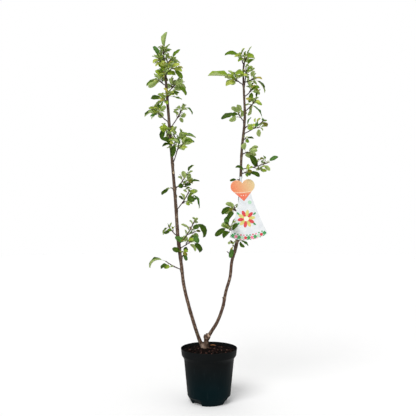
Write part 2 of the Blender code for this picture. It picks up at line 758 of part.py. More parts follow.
def spray_specs():
    # (name, arm, spur, leaves, blade, lead way, lead blade, rng) of each spray.
    specs = []
    for side, rows in SPRAYS.items():
        line = smooth_line(ARMS[side], 2)
        for number, row in enumerate(rows, 1):
            height, bearing, rise, length, *rule = row
            foot = station_at(line, height)
            turn, climb = math.radians(bearing), math.radians(rise)
            direction = np.array((math.cos(climb) * math.cos(turn),
                                  math.cos(climb) * math.sin(turn), math.sin(climb)))
            rng = np.random.default_rng(SEEDS[side] + number)
            spur = spur_line(foot[:3], direction, length + foot[3], rng)
            specs.append((f"{side}_spray_{number:02d}", side, spur, *rule, rng))
        way, length, *rule = LEADERS[side]
        lean = math.radians(way)
        rng = np.random.default_rng(SEEDS[side])
        foot = line[-1, :3] - unit(line[-1, :3] - line[-2, :3]) * 0.002
        spur = spur_line(foot, np.array((math.cos(lean), 0.0, math.sin(lean))), length, rng)
        specs.append((f"{side}_leader", side, spur, *rule, rng))
    return specs


def build_spray(name, twigs, leaves, finish, cutter):
    # The spur's twigs and leaves joined by one Boolean, then cut clear of the arm.
    (spur, sides), *others = twigs
    spray = mesh_object(name, *tube(spur, sides), finish)
    parts = bpy.data.collections.new(name + "_parts")
    bpy.context.scene.collection.children.link(parts)
    solids = [tube(line, count) for line, count in others]
    solids += [leaf_solid(leaf) for leaf in leaves]
    for points, faces in solids:
        piece = mesh_object("piece", points, faces, finish)
        bpy.context.scene.collection.objects.unlink(piece)
        parts.objects.link(piece)
    if solids:
        apply_boolean(spray, "UNION", parts)
    remove(*parts.objects)
    bpy.data.collections.remove(parts)
    apply_boolean(spray, "DIFFERENCE", cutter)
    return spray


def fixed_trees():
    # Rough solids of the limbs and the tag, which no leaf may touch.
    solids = [tube(smooth_line(stations, 2), ARM_SIDES) for stations in ARMS.values()]
    solids += [tube(np.array(limb), TRUNK_SIDES) for limb in (STUB, SAWN_END, CROWN)]
    solids += [heart_solid(), skirt_solid(), tongue_solid()]
    return [tree_of(solid) for solid in solids]


def main():
    for old in list(bpy.data.objects):
        bpy.data.objects.remove(old)
    plastic = material("pot_plastic", (0.012, 0.018, 0.019), 0.5)
    peat = material("compost", (0.045, 0.025, 0.018), 0.95)
    bark = material("bark", (0.16, 0.115, 0.09), 0.85)
    leaf_green = material("leaf", (0.13, 0.25, 0.05), 0.55)
    card_white = material("tag_white", (0.80, 0.82, 0.82), 0.6)
    card_orange = material("tag_orange", (0.85, 0.32, 0.13), 0.5)

    build_pot(plastic)
    build_compost(peat)
    trunk_cutter = trunk_solid("trunk_cutter", bark, CLEAR / math.cos(math.pi / TRUNK_SIDES))
    trunk_solid("trunk", bark)
    build_arms(bark, trunk_cutter)
    remove(trunk_cutter)
    mesh_object("tag_heart", *heart_solid(), card_orange)
    mesh_object("tag_skirt", *skirt_solid(), card_white)
    build_strap(card_white)

    limbs = fixed_trees()
    cutters = {side: arm_cutter(side, bark) for side in ARMS}
    specs = spray_specs()
    spurs = {spec[0]: tree_of(tube(spec[2], TWIG_SIDES)) for spec in specs}
    taken = []
    count = 0
    for name, side, spur, *rule in specs:
        others = [tree for other, tree in spurs.items() if other != name]
        twigs, leaves, trees = grow_spray(spur, *rule, limbs + others, taken)
        build_spray(name, twigs, leaves, leaf_green, cutters[side])
        taken += trees
        count += len(leaves)
        print(name, len(leaves), "of", rule[0])
    remove(*cutters.values())
    print("leaves", count)


if __name__ == "__main__":
    main()
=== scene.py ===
import math

import bmesh
import bpy
import numpy as np
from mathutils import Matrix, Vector, noise
from mathutils.bvhtree import BVHTree


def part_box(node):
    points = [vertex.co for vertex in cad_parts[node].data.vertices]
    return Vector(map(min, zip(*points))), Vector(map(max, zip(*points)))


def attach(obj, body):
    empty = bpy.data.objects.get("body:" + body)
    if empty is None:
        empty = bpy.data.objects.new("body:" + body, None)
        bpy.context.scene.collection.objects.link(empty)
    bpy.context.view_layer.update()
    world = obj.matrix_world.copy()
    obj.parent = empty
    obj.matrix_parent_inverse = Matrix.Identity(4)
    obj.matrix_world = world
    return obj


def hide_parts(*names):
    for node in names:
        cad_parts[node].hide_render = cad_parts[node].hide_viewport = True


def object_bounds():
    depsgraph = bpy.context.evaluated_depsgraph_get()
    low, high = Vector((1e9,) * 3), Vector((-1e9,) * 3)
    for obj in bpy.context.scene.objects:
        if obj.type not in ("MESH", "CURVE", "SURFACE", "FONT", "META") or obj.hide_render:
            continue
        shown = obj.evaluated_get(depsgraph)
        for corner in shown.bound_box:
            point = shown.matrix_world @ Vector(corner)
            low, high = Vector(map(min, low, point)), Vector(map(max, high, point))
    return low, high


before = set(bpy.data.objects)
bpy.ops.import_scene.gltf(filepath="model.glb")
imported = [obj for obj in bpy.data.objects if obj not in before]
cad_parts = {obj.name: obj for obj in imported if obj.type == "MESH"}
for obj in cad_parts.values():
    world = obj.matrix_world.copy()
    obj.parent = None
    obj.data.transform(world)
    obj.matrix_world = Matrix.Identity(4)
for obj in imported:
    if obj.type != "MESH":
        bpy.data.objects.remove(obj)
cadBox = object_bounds()
print("frame:", len(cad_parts), "nodes")

# Camera, floor and lights

studio = {
    "camera": (-0.0044, -2.7, 0.8426),
    "lens": 53.576,
    "floorRadius": 9.0,
    "background": 1.0,
    "roomLight": 0.30,
    "suns": (  # how far each leans from above, its bearing, its strength, its softness
        (44, -114, 2.15, 35),
        (60, -30, 0.45, 70),
        (35, 100, 0.6, 80),
    ),
}


def tone(red, green, blue):
    # A screen colour, 0 to 255, as the colour that shaders use.
    def linear(value):
        value /= 255
        return value / 12.92 if value <= 0.04045 else ((value + 0.055) / 1.055) ** 2.4

    return (linear(red), linear(green), linear(blue), 1.0)


def put(tree, kind, ins=None, **settings):
    # One node with its settings; an input is a value or the socket that feeds it.
    made = tree.nodes.new(kind)
    for key, value in settings.items():
        setattr(made, key, value)
    for key, value in (ins or {}).items():
        if isinstance(value, bpy.types.NodeSocket):
            tree.links.new(value, made.inputs[key])
        else:
            made.inputs[key].default_value = value
    return made


def makeCamera():
    lens = bpy.data.cameras.new("photoCamera")
    lens.lens = studio["lens"]
    lens.sensor_width = 36
    lens.clip_end = 60
    camera = bpy.data.objects.new("photoCamera", lens)
    camera.location = studio["camera"]
    camera.rotation_euler = (math.radians(90), 0, 0)
    bpy.context.scene.collection.objects.link(camera)
    bpy.context.scene.camera = camera


def makeLights():
    world = bpy.data.worlds.new("paleStudio")
    world.use_nodes = True
    tree = world.node_tree
    seen = tree.nodes["Background"]
    seen.inputs["Color"].default_value = (1, 1, 1, 1)
    seen.inputs["Strength"].default_value = studio["background"]
    room = put(tree, "ShaderNodeBackground",
               {"Color": (1, 1, 1, 1), "Strength": studio["roomLight"]})
    ray = put(tree, "ShaderNodeLightPath").outputs["Is Camera Ray"]
    both = put(tree, "ShaderNodeMixShader", {0: ray, 1: room.outputs[0], 2: seen.outputs[0]})
    tree.links.new(both.outputs[0], tree.nodes["World Output"].inputs["Surface"])
    bpy.context.scene.world = world
    for number, (lean, bearing, strength, softness) in enumerate(studio["suns"]):
        light = bpy.data.lights.new(f"softLight{number}", "SUN")
        light.energy = strength
        light.angle = math.radians(softness)
        lamp = bpy.data.objects.new(light.name, light)
        lamp.rotation_euler = (math.radians(lean), 0, math.radians(bearing + 90))
        bpy.context.scene.collection.objects.link(lamp)
    bpy.context.scene.view_settings.view_transform = "Standard"


makeCamera()
makeLights()

# Shader helpers and shared effects


def math2(tree, operation, first, second=0.0):
    return put(tree, "ShaderNodeMath", {0: first, 1: second}, operation=operation).outputs[0]


def times(tree, first, second):
    return math2(tree, "MULTIPLY", first, second)


def layers(tree, colour, *coats):
    # Colours laid over one another; each coat has its share, its colour and its most.
    for share, tint, most in coats:
        share = share if most == 1 else times(tree, share, most)
        mix = put(tree, "ShaderNodeMix", {0: share, 6: colour, 7: tint}, data_type="RGBA")
        colour = mix.outputs[2]
    return colour


def ramp(tree, value, low, high, least=0.0, most=1.0, smooth=False):
    # A value between low and high as one between least and most, held at both ends.
    return put(tree, "ShaderNodeMapRange",
               {"Value": value, "From Min": low, "From Max": high, "To Min": least, "To Max": most},
               interpolation_type="SMOOTHSTEP" if smooth else "LINEAR").outputs["Result"]


def noiseOf(tree, place, scale, detail, roughness=0.5):
    return put(tree, "ShaderNodeTexNoise", {"Vector": place, "Scale": scale, "Detail": detail,
                                            "Roughness": roughness}).outputs["Fac"]


def splitOf(tree, vector):
    return put(tree, "ShaderNodeSeparateXYZ", {0: vector}).outputs


def stretched(tree, place, wide, tall):
    size = put(tree, "ShaderNodeCombineXYZ", {"X": wide, "Y": wide, "Z": tall})
    return put(tree, "ShaderNodeVectorMath", {0: place, 1: size.outputs[0]},
               operation="MULTIPLY").outputs[0]


def startGroup(name, inputs, outputs=("Mask",)):
    group = bpy.data.node_groups.new(name, "ShaderNodeTree")
    for label, value in inputs.items():
        kind = "NodeSocketVector" if value is None else "NodeSocketFloat"
        socket = group.interface.new_socket(label, in_out="INPUT", socket_type=kind)
        if value is not None:
            socket.default_value = value
    for label in outputs:
        group.interface.new_socket(label, in_out="OUTPUT", socket_type="NodeSocketFloat")
    ins = group.nodes.new("NodeGroupInput").outputs
    outs = group.nodes.new("NodeGroupOutput").inputs
    return group, ins, outs


def makeMottle():
    # Cloudy patches: 0 below Low, 1 above High.
    group, ins, outs = startGroup(
        "mottle", {"Place": None, "Scale": 40.0, "Detail": 4.0, "Low": 0.4, "High": 0.6})
    cloud = noiseOf(group, ins["Place"], ins["Scale"], ins["Detail"], 0.6)
    group.links.new(ramp(group, cloud, ins["Low"], ins["High"], smooth=True), outs["Mask"])
    return group


def makeStreaks():
    # Noise drawn out along Z, for what runs up a limb or down a pot.
    group, ins, outs = startGroup(
        "streaks", {"Place": None, "Across": 300.0, "Along": 40.0, "Low": 0.4, "High": 0.6})
    cloud = noiseOf(group, stretched(group, ins["Place"], ins["Across"], ins["Along"]), 1.0, 3.0, 0.55)
    group.links.new(ramp(group, cloud, ins["Low"], ins["High"], smooth=True), outs["Mask"])
    return group


def makeSpecks():
    # Small spots, wider than they are tall where Squash is above 1.
    group, ins, outs = startGroup(
        "specks", {"Place": None, "Scale": 300.0, "Squash": 1.0, "Size": 0.25})
    cells = put(group, "ShaderNodeTexVoronoi",
                {"Vector": stretched(group, ins["Place"], 1.0, ins["Squash"]), "Scale": ins["Scale"]})
    soft = times(group, ins["Size"], 0.5)
    group.links.new(ramp(group, cells.outputs["Distance"], ins["Size"], soft), outs["Mask"])
    return group


def makeVeins():
    # A leaf's midrib and its side veins, from the leaf's own map: U across, V from base to tip.
    group, ins, outs = startGroup("leafVeins", {"Place": None, "Pairs": 8.0}, ("Rib", "Veins"))
    split = splitOf(group, ins["Place"])
    off = math2(group, "ABSOLUTE", math2(group, "SUBTRACT", split["X"], 0.5))
    along = math2(group, "SUBTRACT", split["Y"], times(group, off, 0.55))
    wave = math2(group, "COSINE", times(group, times(group, along, ins["Pairs"]), 2 * math.pi))
    group.links.new(ramp(group, off, 0.05, 0.015), outs["Rib"])
    group.links.new(ramp(group, wave, 0.72, 1.0), outs["Veins"])
    return group


def makeDust():
    # What settles on faces that look up, in cloudy patches.
    group, ins, outs = startGroup("dust", {"Place": None, "Scale": 30.0, "Amount": 0.5})
    up = splitOf(group, put(group, "ShaderNodeNewGeometry").outputs["Normal"])["Z"]
    settled = times(group, ramp(group, up, -0.4, 1.0), noiseOf(group, ins["Place"], ins["Scale"], 5.0))
    group.links.new(times(group, settled, ins["Amount"]), outs["Mask"])
    return group


mottle = makeMottle()
streaks = makeStreaks()
specks = makeSpecks()
leafVeins = makeVeins()
dust = makeDust()


def use(tree, group, place, **ins):
    # A shared effect at a place.
    return put(tree, "ShaderNodeGroup", {"Place": place, **ins}, node_tree=group).outputs[0]


def startFinish(name, **fixed):
    # A material with constants on the shader's own sockets, and its object's coordinates.
    made = bpy.data.materials.new(name)
    made.use_nodes = True
    tree = made.node_tree
    for key, value in fixed.items():
        tree.nodes["Principled BSDF"].inputs[key.replace("_", " ")].default_value = value
    return made, tree, put(tree, "ShaderNodeTexCoord").outputs["Object"]


def between(tree, share, least, most):
    return ramp(tree, share, 0.0, 1.0, least, most)


def endFinish(made, colour, rough, height, depth):
    # Colour, roughness and fine relief into the material's shader.
    tree = made.node_tree
    bump = put(tree, "ShaderNodeBump", {"Height": height, "Distance": depth, "Strength": 1.0})
    sockets = tree.nodes["Principled BSDF"].inputs
    tree.links.new(colour, sockets["Base Color"])
    tree.links.new(rough, sockets["Roughness"])
    tree.links.new(bump.outputs["Normal"], sockets["Normal"])
    return made


# Finishes

barkLook = {
    "ground": tone(78, 58, 47),
    "film": tone(152, 132, 113),
    "green": tone(78, 72, 46),
    "red": tone(98, 58, 44),
    "crack": tone(34, 24, 20),
    "lenticel": tone(190, 168, 144),
    "high": tone(84, 70, 60),
    # edge: painted shade, the colour laid on at the bark's outline
    "edge": tone(34, 24, 22),
    "filmScale": 105.0,
}
twigLook = {
    "ground": tone(70, 50, 46),
    "film": tone(104, 82, 72),
    "green": tone(78, 70, 42),
    "red": tone(84, 44, 36),
    "crack": tone(32, 20, 20),
    "lenticel": tone(142, 118, 98),
    "high": tone(58, 42, 40),
    # edge: painted shade, the colour laid on at the twigs' outline
    "edge": tone(30, 20, 20),
    "filmScale": 160.0,
}
crownPatches = (  # where the old wood has healed pale: centre, full within, gone beyond
    ((0.0015, 0.0200, 0.2850), 0.005, 0.012, tone(196, 170, 148)),
    ((-0.0300, 0.0200, 0.2340), 0.004, 0.018, tone(160, 138, 124)),
)


def nearPlace(tree, place, centre, inside, outside):
    # 1 within a distance of a point, fading to 0.
    gap = put(tree, "ShaderNodeVectorMath", {0: place, 1: centre}, operation="DISTANCE")
    return ramp(tree, gap.outputs["Value"], outside, inside, smooth=True)


def paintedOutlineShade(tree, start, most):
    # Painted shade: 0 where a surface faces the eye, rising to its most at the outline, where the colour
    # is darkened as if the surface turned from the light.
    facing = put(tree, "ShaderNodeLayerWeight", {"Blend": 0.5}).outputs["Facing"]
    return ramp(tree, facing, start, 1.0, most=most)


def barkFinish(name, look, across, along, patches=()):
    made, tree, place = startFinish(name, Specular_IOR_Level=0.16)
    film = use(tree, mottle, place, Scale=look["filmScale"], Detail=4.0, Low=0.47, High=0.7)
    green = use(tree, mottle, place, Scale=17.0, Detail=3.0, Low=0.52, High=0.68)
    red = use(tree, streaks, place, Across=across * 0.5, Along=along * 0.6, Low=0.54, High=0.7)
    crack = use(tree, streaks, place, Across=across, Along=along, Low=0.42, High=0.3)
    spots = use(tree, specks, place, Scale=190.0, Squash=1.9, Size=0.2)
    high = ramp(tree, splitOf(tree, place)["Z"], 0.55, 1.3, most=0.6)
    healed = [(nearPlace(tree, place, *spot), pale, 1) for *spot, pale in patches]
    # The last coat is painted shade: the bark darkened towards its outline.
    colour = layers(tree, look["ground"], (film, look["film"], 1), (green, look["green"], 0.5),
                    (red, look["red"], 0.75), (high, look["high"], 1), *healed,
                    (crack, look["crack"], 0.8), (spots, look["lenticel"], 1),
                    (paintedOutlineShade(tree, 0.35, 0.8), look["edge"], 1))
    fine = times(tree, noiseOf(tree, place, 900.0, 4.0), 0.35)
    height = math2(tree, "SUBTRACT", math2(tree, "ADD", fine, spots), crack)
    return endFinish(made, colour, between(tree, film, 0.62, 0.86), height, 0.0004)


def cutFinish(name, wood, grainTone, weatherTone):
    # A sawn or pruned face: dry wood with fine grain and weathering.
    made, tree, place = startFinish(name, Specular_IOR_Level=0.2)
    grain = use(tree, streaks, place, Across=700.0, Along=900.0, Low=0.35, High=0.7)
    weather = use(tree, mottle, place, Scale=180.0, Detail=4.0, Low=0.4, High=0.65)
    colour = layers(tree, wood, (grain, grainTone, 1), (weather, weatherTone, 1))
    return endFinish(made, colour, between(tree, weather, 0.7, 0.9), grain, 0.0003)


leafLook = {  # upper side, its darker clouds, its veins; roughness from and to
    "leafYoung": (tone(198, 210, 100), tone(172, 192, 66), tone(218, 226, 146), 0.42, 0.56),
    "leafBuff": (tone(198, 194, 92), tone(176, 162, 64), tone(218, 214, 142), 0.42, 0.56),
    "leafFresh": (tone(150, 176, 50), tone(120, 150, 32), tone(182, 200, 92), 0.4, 0.54),
    "leafGrown": (tone(104, 138, 26), tone(74, 108, 14), tone(144, 168, 66), 0.38, 0.52),
    "leafBlue": (tone(82, 126, 48), tone(56, 98, 32), tone(122, 156, 86), 0.44, 0.58),
    "leafDeep": (tone(64, 93, 12), tone(40, 66, 6), tone(98, 124, 40), 0.36, 0.5),
    "leafOlive": (tone(120, 122, 34), tone(92, 90, 22), tone(154, 152, 76), 0.44, 0.58),
}
leafUnderLook = (tone(182, 200, 124), tone(158, 184, 102), tone(200, 214, 152), 0.62, 0.78)
leafFleck = tone(120, 92, 50)


def leafFinish(name, look):
    face, cloud, vein, smooth, matt = look
    made, tree, place = startFinish(name, Specular_IOR_Level=0.13)
    leafMap = put(tree, "ShaderNodeUVMap", uv_map="leafMap").outputs["UV"]
    rib, veins = put(tree, "ShaderNodeGroup", {"Place": leafMap, "Pairs": 8.0},
                     node_tree=leafVeins).outputs[:2]
    clouds = use(tree, mottle, place, Scale=60.0, Detail=4.0, Low=0.36, High=0.66)
    fleck = use(tree, specks, place, Scale=260.0, Squash=1.0, Size=0.16)
    colour = layers(tree, face, (clouds, cloud, 1), (veins, vein, 0.4), (rib, vein, 0.85),
                    (fleck, leafFleck, 0.12))
    sunk = times(tree, math2(tree, "ADD", rib, veins), -1.0)
    height = math2(tree, "ADD", sunk, noiseOf(tree, place, 1400.0, 2.0))
    return endFinish(made, colour, between(tree, clouds, smooth, matt), height, 0.0004)


def plainFinish(name, low, high, scale, smooth, matt, grain, depth, **fixed):
    # Two colours in cloudy patches, with an even fine relief.
    made, tree, place = startFinish(name, **fixed)
    clouds = use(tree, mottle, place, Scale=scale, Detail=5.0, Low=0.35, High=0.65)
    return endFinish(made, layers(tree, low, (clouds, high, 1)), between(tree, clouds, smooth, matt),
                     noiseOf(tree, place, grain, 4.0), depth)


potLook = {  # two cloudy tones above and below, the teal one below a painted cold reflection, and the heights between which they turn
    "upper": (tone(14, 17, 18), tone(19, 21, 22)),
    "lower": (tone(1, 19, 23), tone(5, 23, 27)),
    "turn": (0.180, 0.070),
    "scuff": tone(40, 50, 52),
    "dust": tone(62, 56, 50),
    # edge: painted shade at the pot's outline
    "edge": tone(3, 5, 6),
}


def potFinish():
    # Black plastic with a painted cold reflection towards its foot, upright scuffs, dust from the
    # compost and painted shade at its outline.
    made, tree, place = startFinish("potPlastic", Specular_IOR_Level=0.03)
    cloud = use(tree, mottle, place, Scale=9.0, Detail=5.0, Low=0.35, High=0.7)
    scuffs = use(tree, streaks, place, Across=150.0, Along=9.0, Low=0.6, High=0.74)
    settled = use(tree, dust, place, Scale=45.0, Amount=0.5)
    # low: share of the painted teal reflection, rising towards the foot
    low = ramp(tree, splitOf(tree, place)["Z"], *potLook["turn"])
    upper, lower = (layers(tree, dark, (cloud, pale, 1))
                    for dark, pale in (potLook["upper"], potLook["lower"]))
    # The last coat is painted shade, darkening the pot towards its outline.
    colour = layers(tree, upper, (low, lower, 1), (scuffs, potLook["scuff"], 0.2),
                    (settled, potLook["dust"], 0.3), (paintedOutlineShade(tree, 0.5, 0.7), potLook["edge"], 1))
    worn = math2(tree, "ADD", between(tree, cloud, 0.4, 0.58), times(tree, scuffs, 0.15))
    return endFinish(made, colour, worn, noiseOf(tree, place, 700.0, 3.0), 0.00012)


heartLook = {
    "left": tone(234, 122, 76),
    "right": tone(224, 200, 146),
    "foot": tone(234, 86, 62),
    "lineHeight": 0.9125,
    "lineSlope": 0.096,
    "middle": 0.1480,
    "fade": (0.001, -0.012),
    "lean": 0.45,
    "run": (0.513, 0.622),
    "paper": tone(255, 236, 214),
}


def heartFinish():
    # A print that runs from orange red at the lower left to pale yellow at the upper right.
    made, tree, place = startFinish("tagOrange", Specular_IOR_Level=0.4)
    x, _, z = splitOf(tree, place)
    run = ramp(tree, math2(tree, "ADD", x, times(tree, z, heartLook["lean"])), *heartLook["run"])
    rise = times(tree, math2(tree, "SUBTRACT", x, heartLook["middle"]), heartLook["lineSlope"])
    below = ramp(tree, math2(tree, "SUBTRACT", z, rise),
                 *(heartLook["lineHeight"] + off for off in heartLook["fade"]), most=0.75)
    paper = use(tree, mottle, place, Scale=240.0, Detail=4.0, Low=0.3, High=0.7)
    colour = layers(tree, heartLook["left"], (run, heartLook["right"], 1),
                    (below, heartLook["foot"], 1), (paper, heartLook["paper"], 0.1))
    return endFinish(made, colour, between(tree, paper, 0.36, 0.48), paper, 0.00006)


bark = barkFinish("bark", barkLook, 420.0, 60.0)
crownBark = barkFinish("crownBark", barkLook, 300.0, 90.0, crownPatches)
twigBark = barkFinish("twigBark", twigLook, 900.0, 200.0)
cutWood = cutFinish("cutWood", tone(206, 188, 156), tone(170, 146, 112), tone(148, 128, 104))
oldWood = cutFinish("oldWood", tone(92, 74, 60), tone(62, 48, 40), tone(44, 34, 30))
leafUpper = {name: leafFinish(name, look) for name, look in leafLook.items()}
leafUnder = leafFinish("leafUnder", leafUnderLook)
stalkGreen = plainFinish("stalkGreen", tone(150, 176, 96), tone(128, 152, 78), 90.0, 0.45, 0.6,
                         1200.0, 0.0002)
stalkRed = plainFinish("stalkRed", tone(150, 104, 76), tone(128, 138, 74), 70.0, 0.45, 0.6,
                       1200.0, 0.0002)
budBrown = plainFinish("budBrown", tone(116, 74, 58), tone(86, 56, 50), 420.0, 0.6, 0.8,
                       1600.0, 0.0003)
fruitSkin = plainFinish("fruitSkin", tone(128, 116, 62), tone(116, 78, 54), 150.0, 0.5, 0.7,
                        1500.0, 0.0002)
potPlastic = potFinish()
compostBed = plainFinish("compostBed", tone(11, 7, 6), tone(24, 15, 12), 260.0, 0.85, 0.98,
                         1100.0, 0.0012, Specular_IOR_Level=0.1)
chipLook = {
    "chipsDark": (tone(16, 11, 9), tone(7, 5, 4)),
    "chipsBrown": (tone(46, 28, 24), tone(26, 16, 13)),
    "chipsRed": (tone(102, 70, 61), tone(62, 41, 36)),
    "chipsPale": (tone(152, 120, 104), tone(120, 84, 68)),
    "chipsTan": (tone(196, 140, 92), tone(166, 108, 64)),
}
chipFinish = {
    name: plainFinish(name, low, high, 190.0, 0.75, 0.95, 1400.0, 0.0008,
                      Specular_IOR_Level=0.05)
    for name, (low, high) in chipLook.items()
}
tagOrange = heartFinish()
tagWhite = plainFinish("tagWhite", tone(230, 233, 234), tone(219, 223, 226), 40.0, 0.4, 0.55,
                       600.0, 0.00012, Specular_IOR_Level=0.4)
tagEdge = plainFinish("tagEdge", tone(240, 240, 236), tone(222, 222, 218), 500.0, 0.7, 0.85,
                      1800.0, 0.0001)
strapClear = plainFinish("strapClear", tone(226, 230, 232), tone(206, 212, 216), 160.0, 0.25,
                         0.4, 700.0, 0.0001, Specular_IOR_Level=0.6)
inkLook = {
    "inkRed": (tone(226, 76, 78), tone(206, 56, 66)),
    "inkYellow": (tone(222, 214, 130), tone(206, 200, 108)),
    "inkCream": (tone(250, 244, 226), tone(240, 234, 206)),
    "inkGreen": (tone(54, 138, 78), tone(86, 170, 96)),
    "inkPink": (tone(244, 140, 168), tone(234, 112, 146)),
    "inkMint": (tone(192, 226, 196), tone(172, 212, 180)),
}
ink = {
    name: plainFinish(name, low, high, 120.0, 0.38, 0.5, 900.0, 0.00008)
    for name, (low, high) in inkLook.items()
}
print("finishes:", len(bpy.data.materials))

# Meshes: small helpers


def unit(vector):
    return vector / np.linalg.norm(vector)


def turned(vector, axis, angle):
    return (
        vector * math.cos(angle)
        + np.cross(axis, vector) * math.sin(angle)
        + axis * (axis @ vector) * (1 - math.cos(angle))
    )


def wayOf(bearing, rise=0.0):
    # The unit direction with a bearing (0 is +X) and a rise above level, in degrees.
    turn, climb = math.radians(bearing), math.radians(rise)
    return np.array((math.cos(climb) * math.cos(turn), math.cos(climb) * math.sin(turn),
                     math.sin(climb)))


def polar(radius, angle):
    return radius * math.cos(angle), radius * math.sin(angle)


def turns(count):
    return [2 * math.pi * k / count for k in range(count)]


def across(direction):
    # A unit vector square to the direction, the same each time.
    helper = np.array((0.0, 1.0, 0.0))
    if abs(direction[1]) > 0.9:
        helper = np.array((1.0, 0.0, 0.0))
    return unit(np.cross(direction, helper))


def smoothLine(stations, steps):
    # Catmull-Rom through the stations; each column, the radius too, is smoothed alike.
    knots = np.array(stations)
    ends = np.vstack((2 * knots[0] - knots[1], knots, 2 * knots[-1] - knots[-2]))
    line = []
    for i in range(1, len(ends) - 2):
        a, b, c, d = ends[i - 1], ends[i], ends[i + 1], ends[i + 2]
        for t in np.arange(steps) / steps:
            bend = 2 * a - 5 * b + 4 * c - d
            twist = 3 * b - a - 3 * c + d
            line.append(0.5 * (2 * b + (c - a) * t + bend * t**2 + twist * t**3))
    line.append(ends[-2])
    return np.array(line)


def lengthsOf(line):
    gaps = np.linalg.norm(np.diff(line[:, :3], axis=0), axis=1)
    return np.concatenate(([0.0], np.cumsum(gaps)))


def evenLine(stations, spacing, steps=16):
    # A smooth line with stations every so many metres.
    line = smoothLine(stations, steps)
    along = lengthsOf(line)
    wanted = np.linspace(0, along[-1], max(3, round(along[-1] / spacing) + 1))
    return np.column_stack([np.interp(wanted, along, line[:, k]) for k in range(4)])


def hump(gaps, height, reach):
    # A rounded swelling, by the distances from its middle.
    return height * np.exp(-(gaps / reach) ** 2)


def framesOf(line):
    # Two unit vectors square to a line at each station, which turn no more than they must.
    along = np.gradient(line[:, :3], axis=0)
    along /= np.linalg.norm(along, axis=1)[:, None]
    side = across(along[0])
    sides = []
    for ahead in along:
        side = unit(side - ahead * (side @ ahead))
        sides.append(side)
    return np.array(sides), np.cross(along, np.array(sides))


def spokesOf(line, count):
    # Unit vectors out of a line, count of them round each station.
    sides, others = framesOf(line)
    turn = 2 * np.pi * np.arange(count) / count
    return (sides[:, None] * np.cos(turn)[None, :, None]
            + others[:, None] * np.sin(turn)[None, :, None])


def quadRows(rows, count, first=0):
    # The faces between closed rings of count points that follow one another.
    faces = []
    for row in range(rows - 1):
        for k in range(count):
            a, b = first + row * count + k, first + row * count + (k + 1) % count
            faces.append((a, b, b + count, a + count))
    return faces


def polarFaces(rows, count):
    # The faces of a closed shape: one point, its rings, and one more point.
    last = 1 + (rows - 1) * count
    foot = [(0, 1 + (k + 1) % count, 1 + k) for k in range(count)]
    top = [(last + count, last + k, last + (k + 1) % count) for k in range(count)]
    return foot + quadRows(rows, count, 1) + top


def sweep(line, count, relief=0.0):
    # A closed tube round a line. relief has a row for each station and a column for each side.
    radius = np.repeat(line[:, 3:4], count, axis=1) + relief
    rings = line[:, None, :3] + spokesOf(line, count) * radius[:, :, None]
    points = np.vstack((line[0, :3], rings.reshape(-1, 3), line[-1, :3]))
    return points, polarFaces(len(line), count)


def revolve(foot, rows, top, count, lift):
    # A closed round shape from rows of radius, height and how much of the lift each takes.
    points = [(0.0, 0.0, foot)]
    for radius, height, share in rows:
        points += [(*polar(radius, a), height + share * lift(radius, a)) for a in turns(count)]
    points.append((0.0, 0.0, top))
    return points, polarFaces(len(rows), count)


class Bundle:
    # Shapes gathered into one piece, each face with its finish and each corner with its map.
    def __init__(self):
        self.points, self.faces, self.finishes, self.maps, self.sharp = [], [], [], [], []
        self.count = 0

    def add(self, points, faces, finish=0, maps=None, sharp=()):
        self.points.append(np.asarray(points, dtype=float))
        self.faces += [tuple(v + self.count for v in face) for face in faces]
        self.finishes += list(finish) if isinstance(finish, (list, tuple)) else [finish] * len(faces)
        self.sharp += [(a + self.count, b + self.count) for a, b in sharp]
        if maps is not None:
            self.maps.append(np.asarray(maps, dtype=float))
        self.count += len(points)


def newObject(name, points, faces):
    mesh = bpy.data.meshes.new(name)
    mesh.from_pydata(points, [], faces)
    made = bpy.data.objects.new(name, mesh)
    bpy.context.scene.collection.objects.link(made)
    return made


def dropObject(made):
    mesh = made.data
    bpy.data.objects.remove(made)
    bpy.data.meshes.remove(mesh)


def evaluated(made):
    # The mesh that an object's modifiers give; the object goes.
    graph = bpy.context.evaluated_depsgraph_get()
    mesh = bpy.data.meshes.new_from_object(made.evaluated_get(graph))
    dropObject(made)
    return mesh


def addPiece(name, bundle, finishes, nodes, smooth=True):
    # The bundle as one finished piece of the plant, its faces outwards.
    piece = newObject(name, np.vstack(bundle.points).tolist(), bundle.faces)
    mesh = piece.data
    for finish in finishes:
        mesh.materials.append(finish)
    mesh.polygons.foreach_set("material_index", bundle.finishes)
    mesh.polygons.foreach_set("use_smooth", [smooth] * len(bundle.faces))
    if bundle.maps:
        corners = np.vstack(bundle.maps)
        layer = mesh.uv_layers.new(name="leafMap")
        order = np.empty(len(mesh.loops), dtype=np.int32)
        mesh.loops.foreach_get("vertex_index", order)
        layer.data.foreach_set("uv", corners[order].ravel())
    work = bmesh.new()
    work.from_mesh(mesh)
    bmesh.ops.recalc_face_normals(work, faces=work.faces)
    wanted = {frozenset(pair) for pair in bundle.sharp}
    for edge in work.edges if wanted else ():
        edge.smooth = frozenset(vert.index for vert in edge.verts) not in wanted
    work.to_mesh(mesh)
    work.free()
    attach(piece, "root")
    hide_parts(*nodes)
    return piece


# The limbs, as in the part's source: x, y, z and radius of stations from the foot up

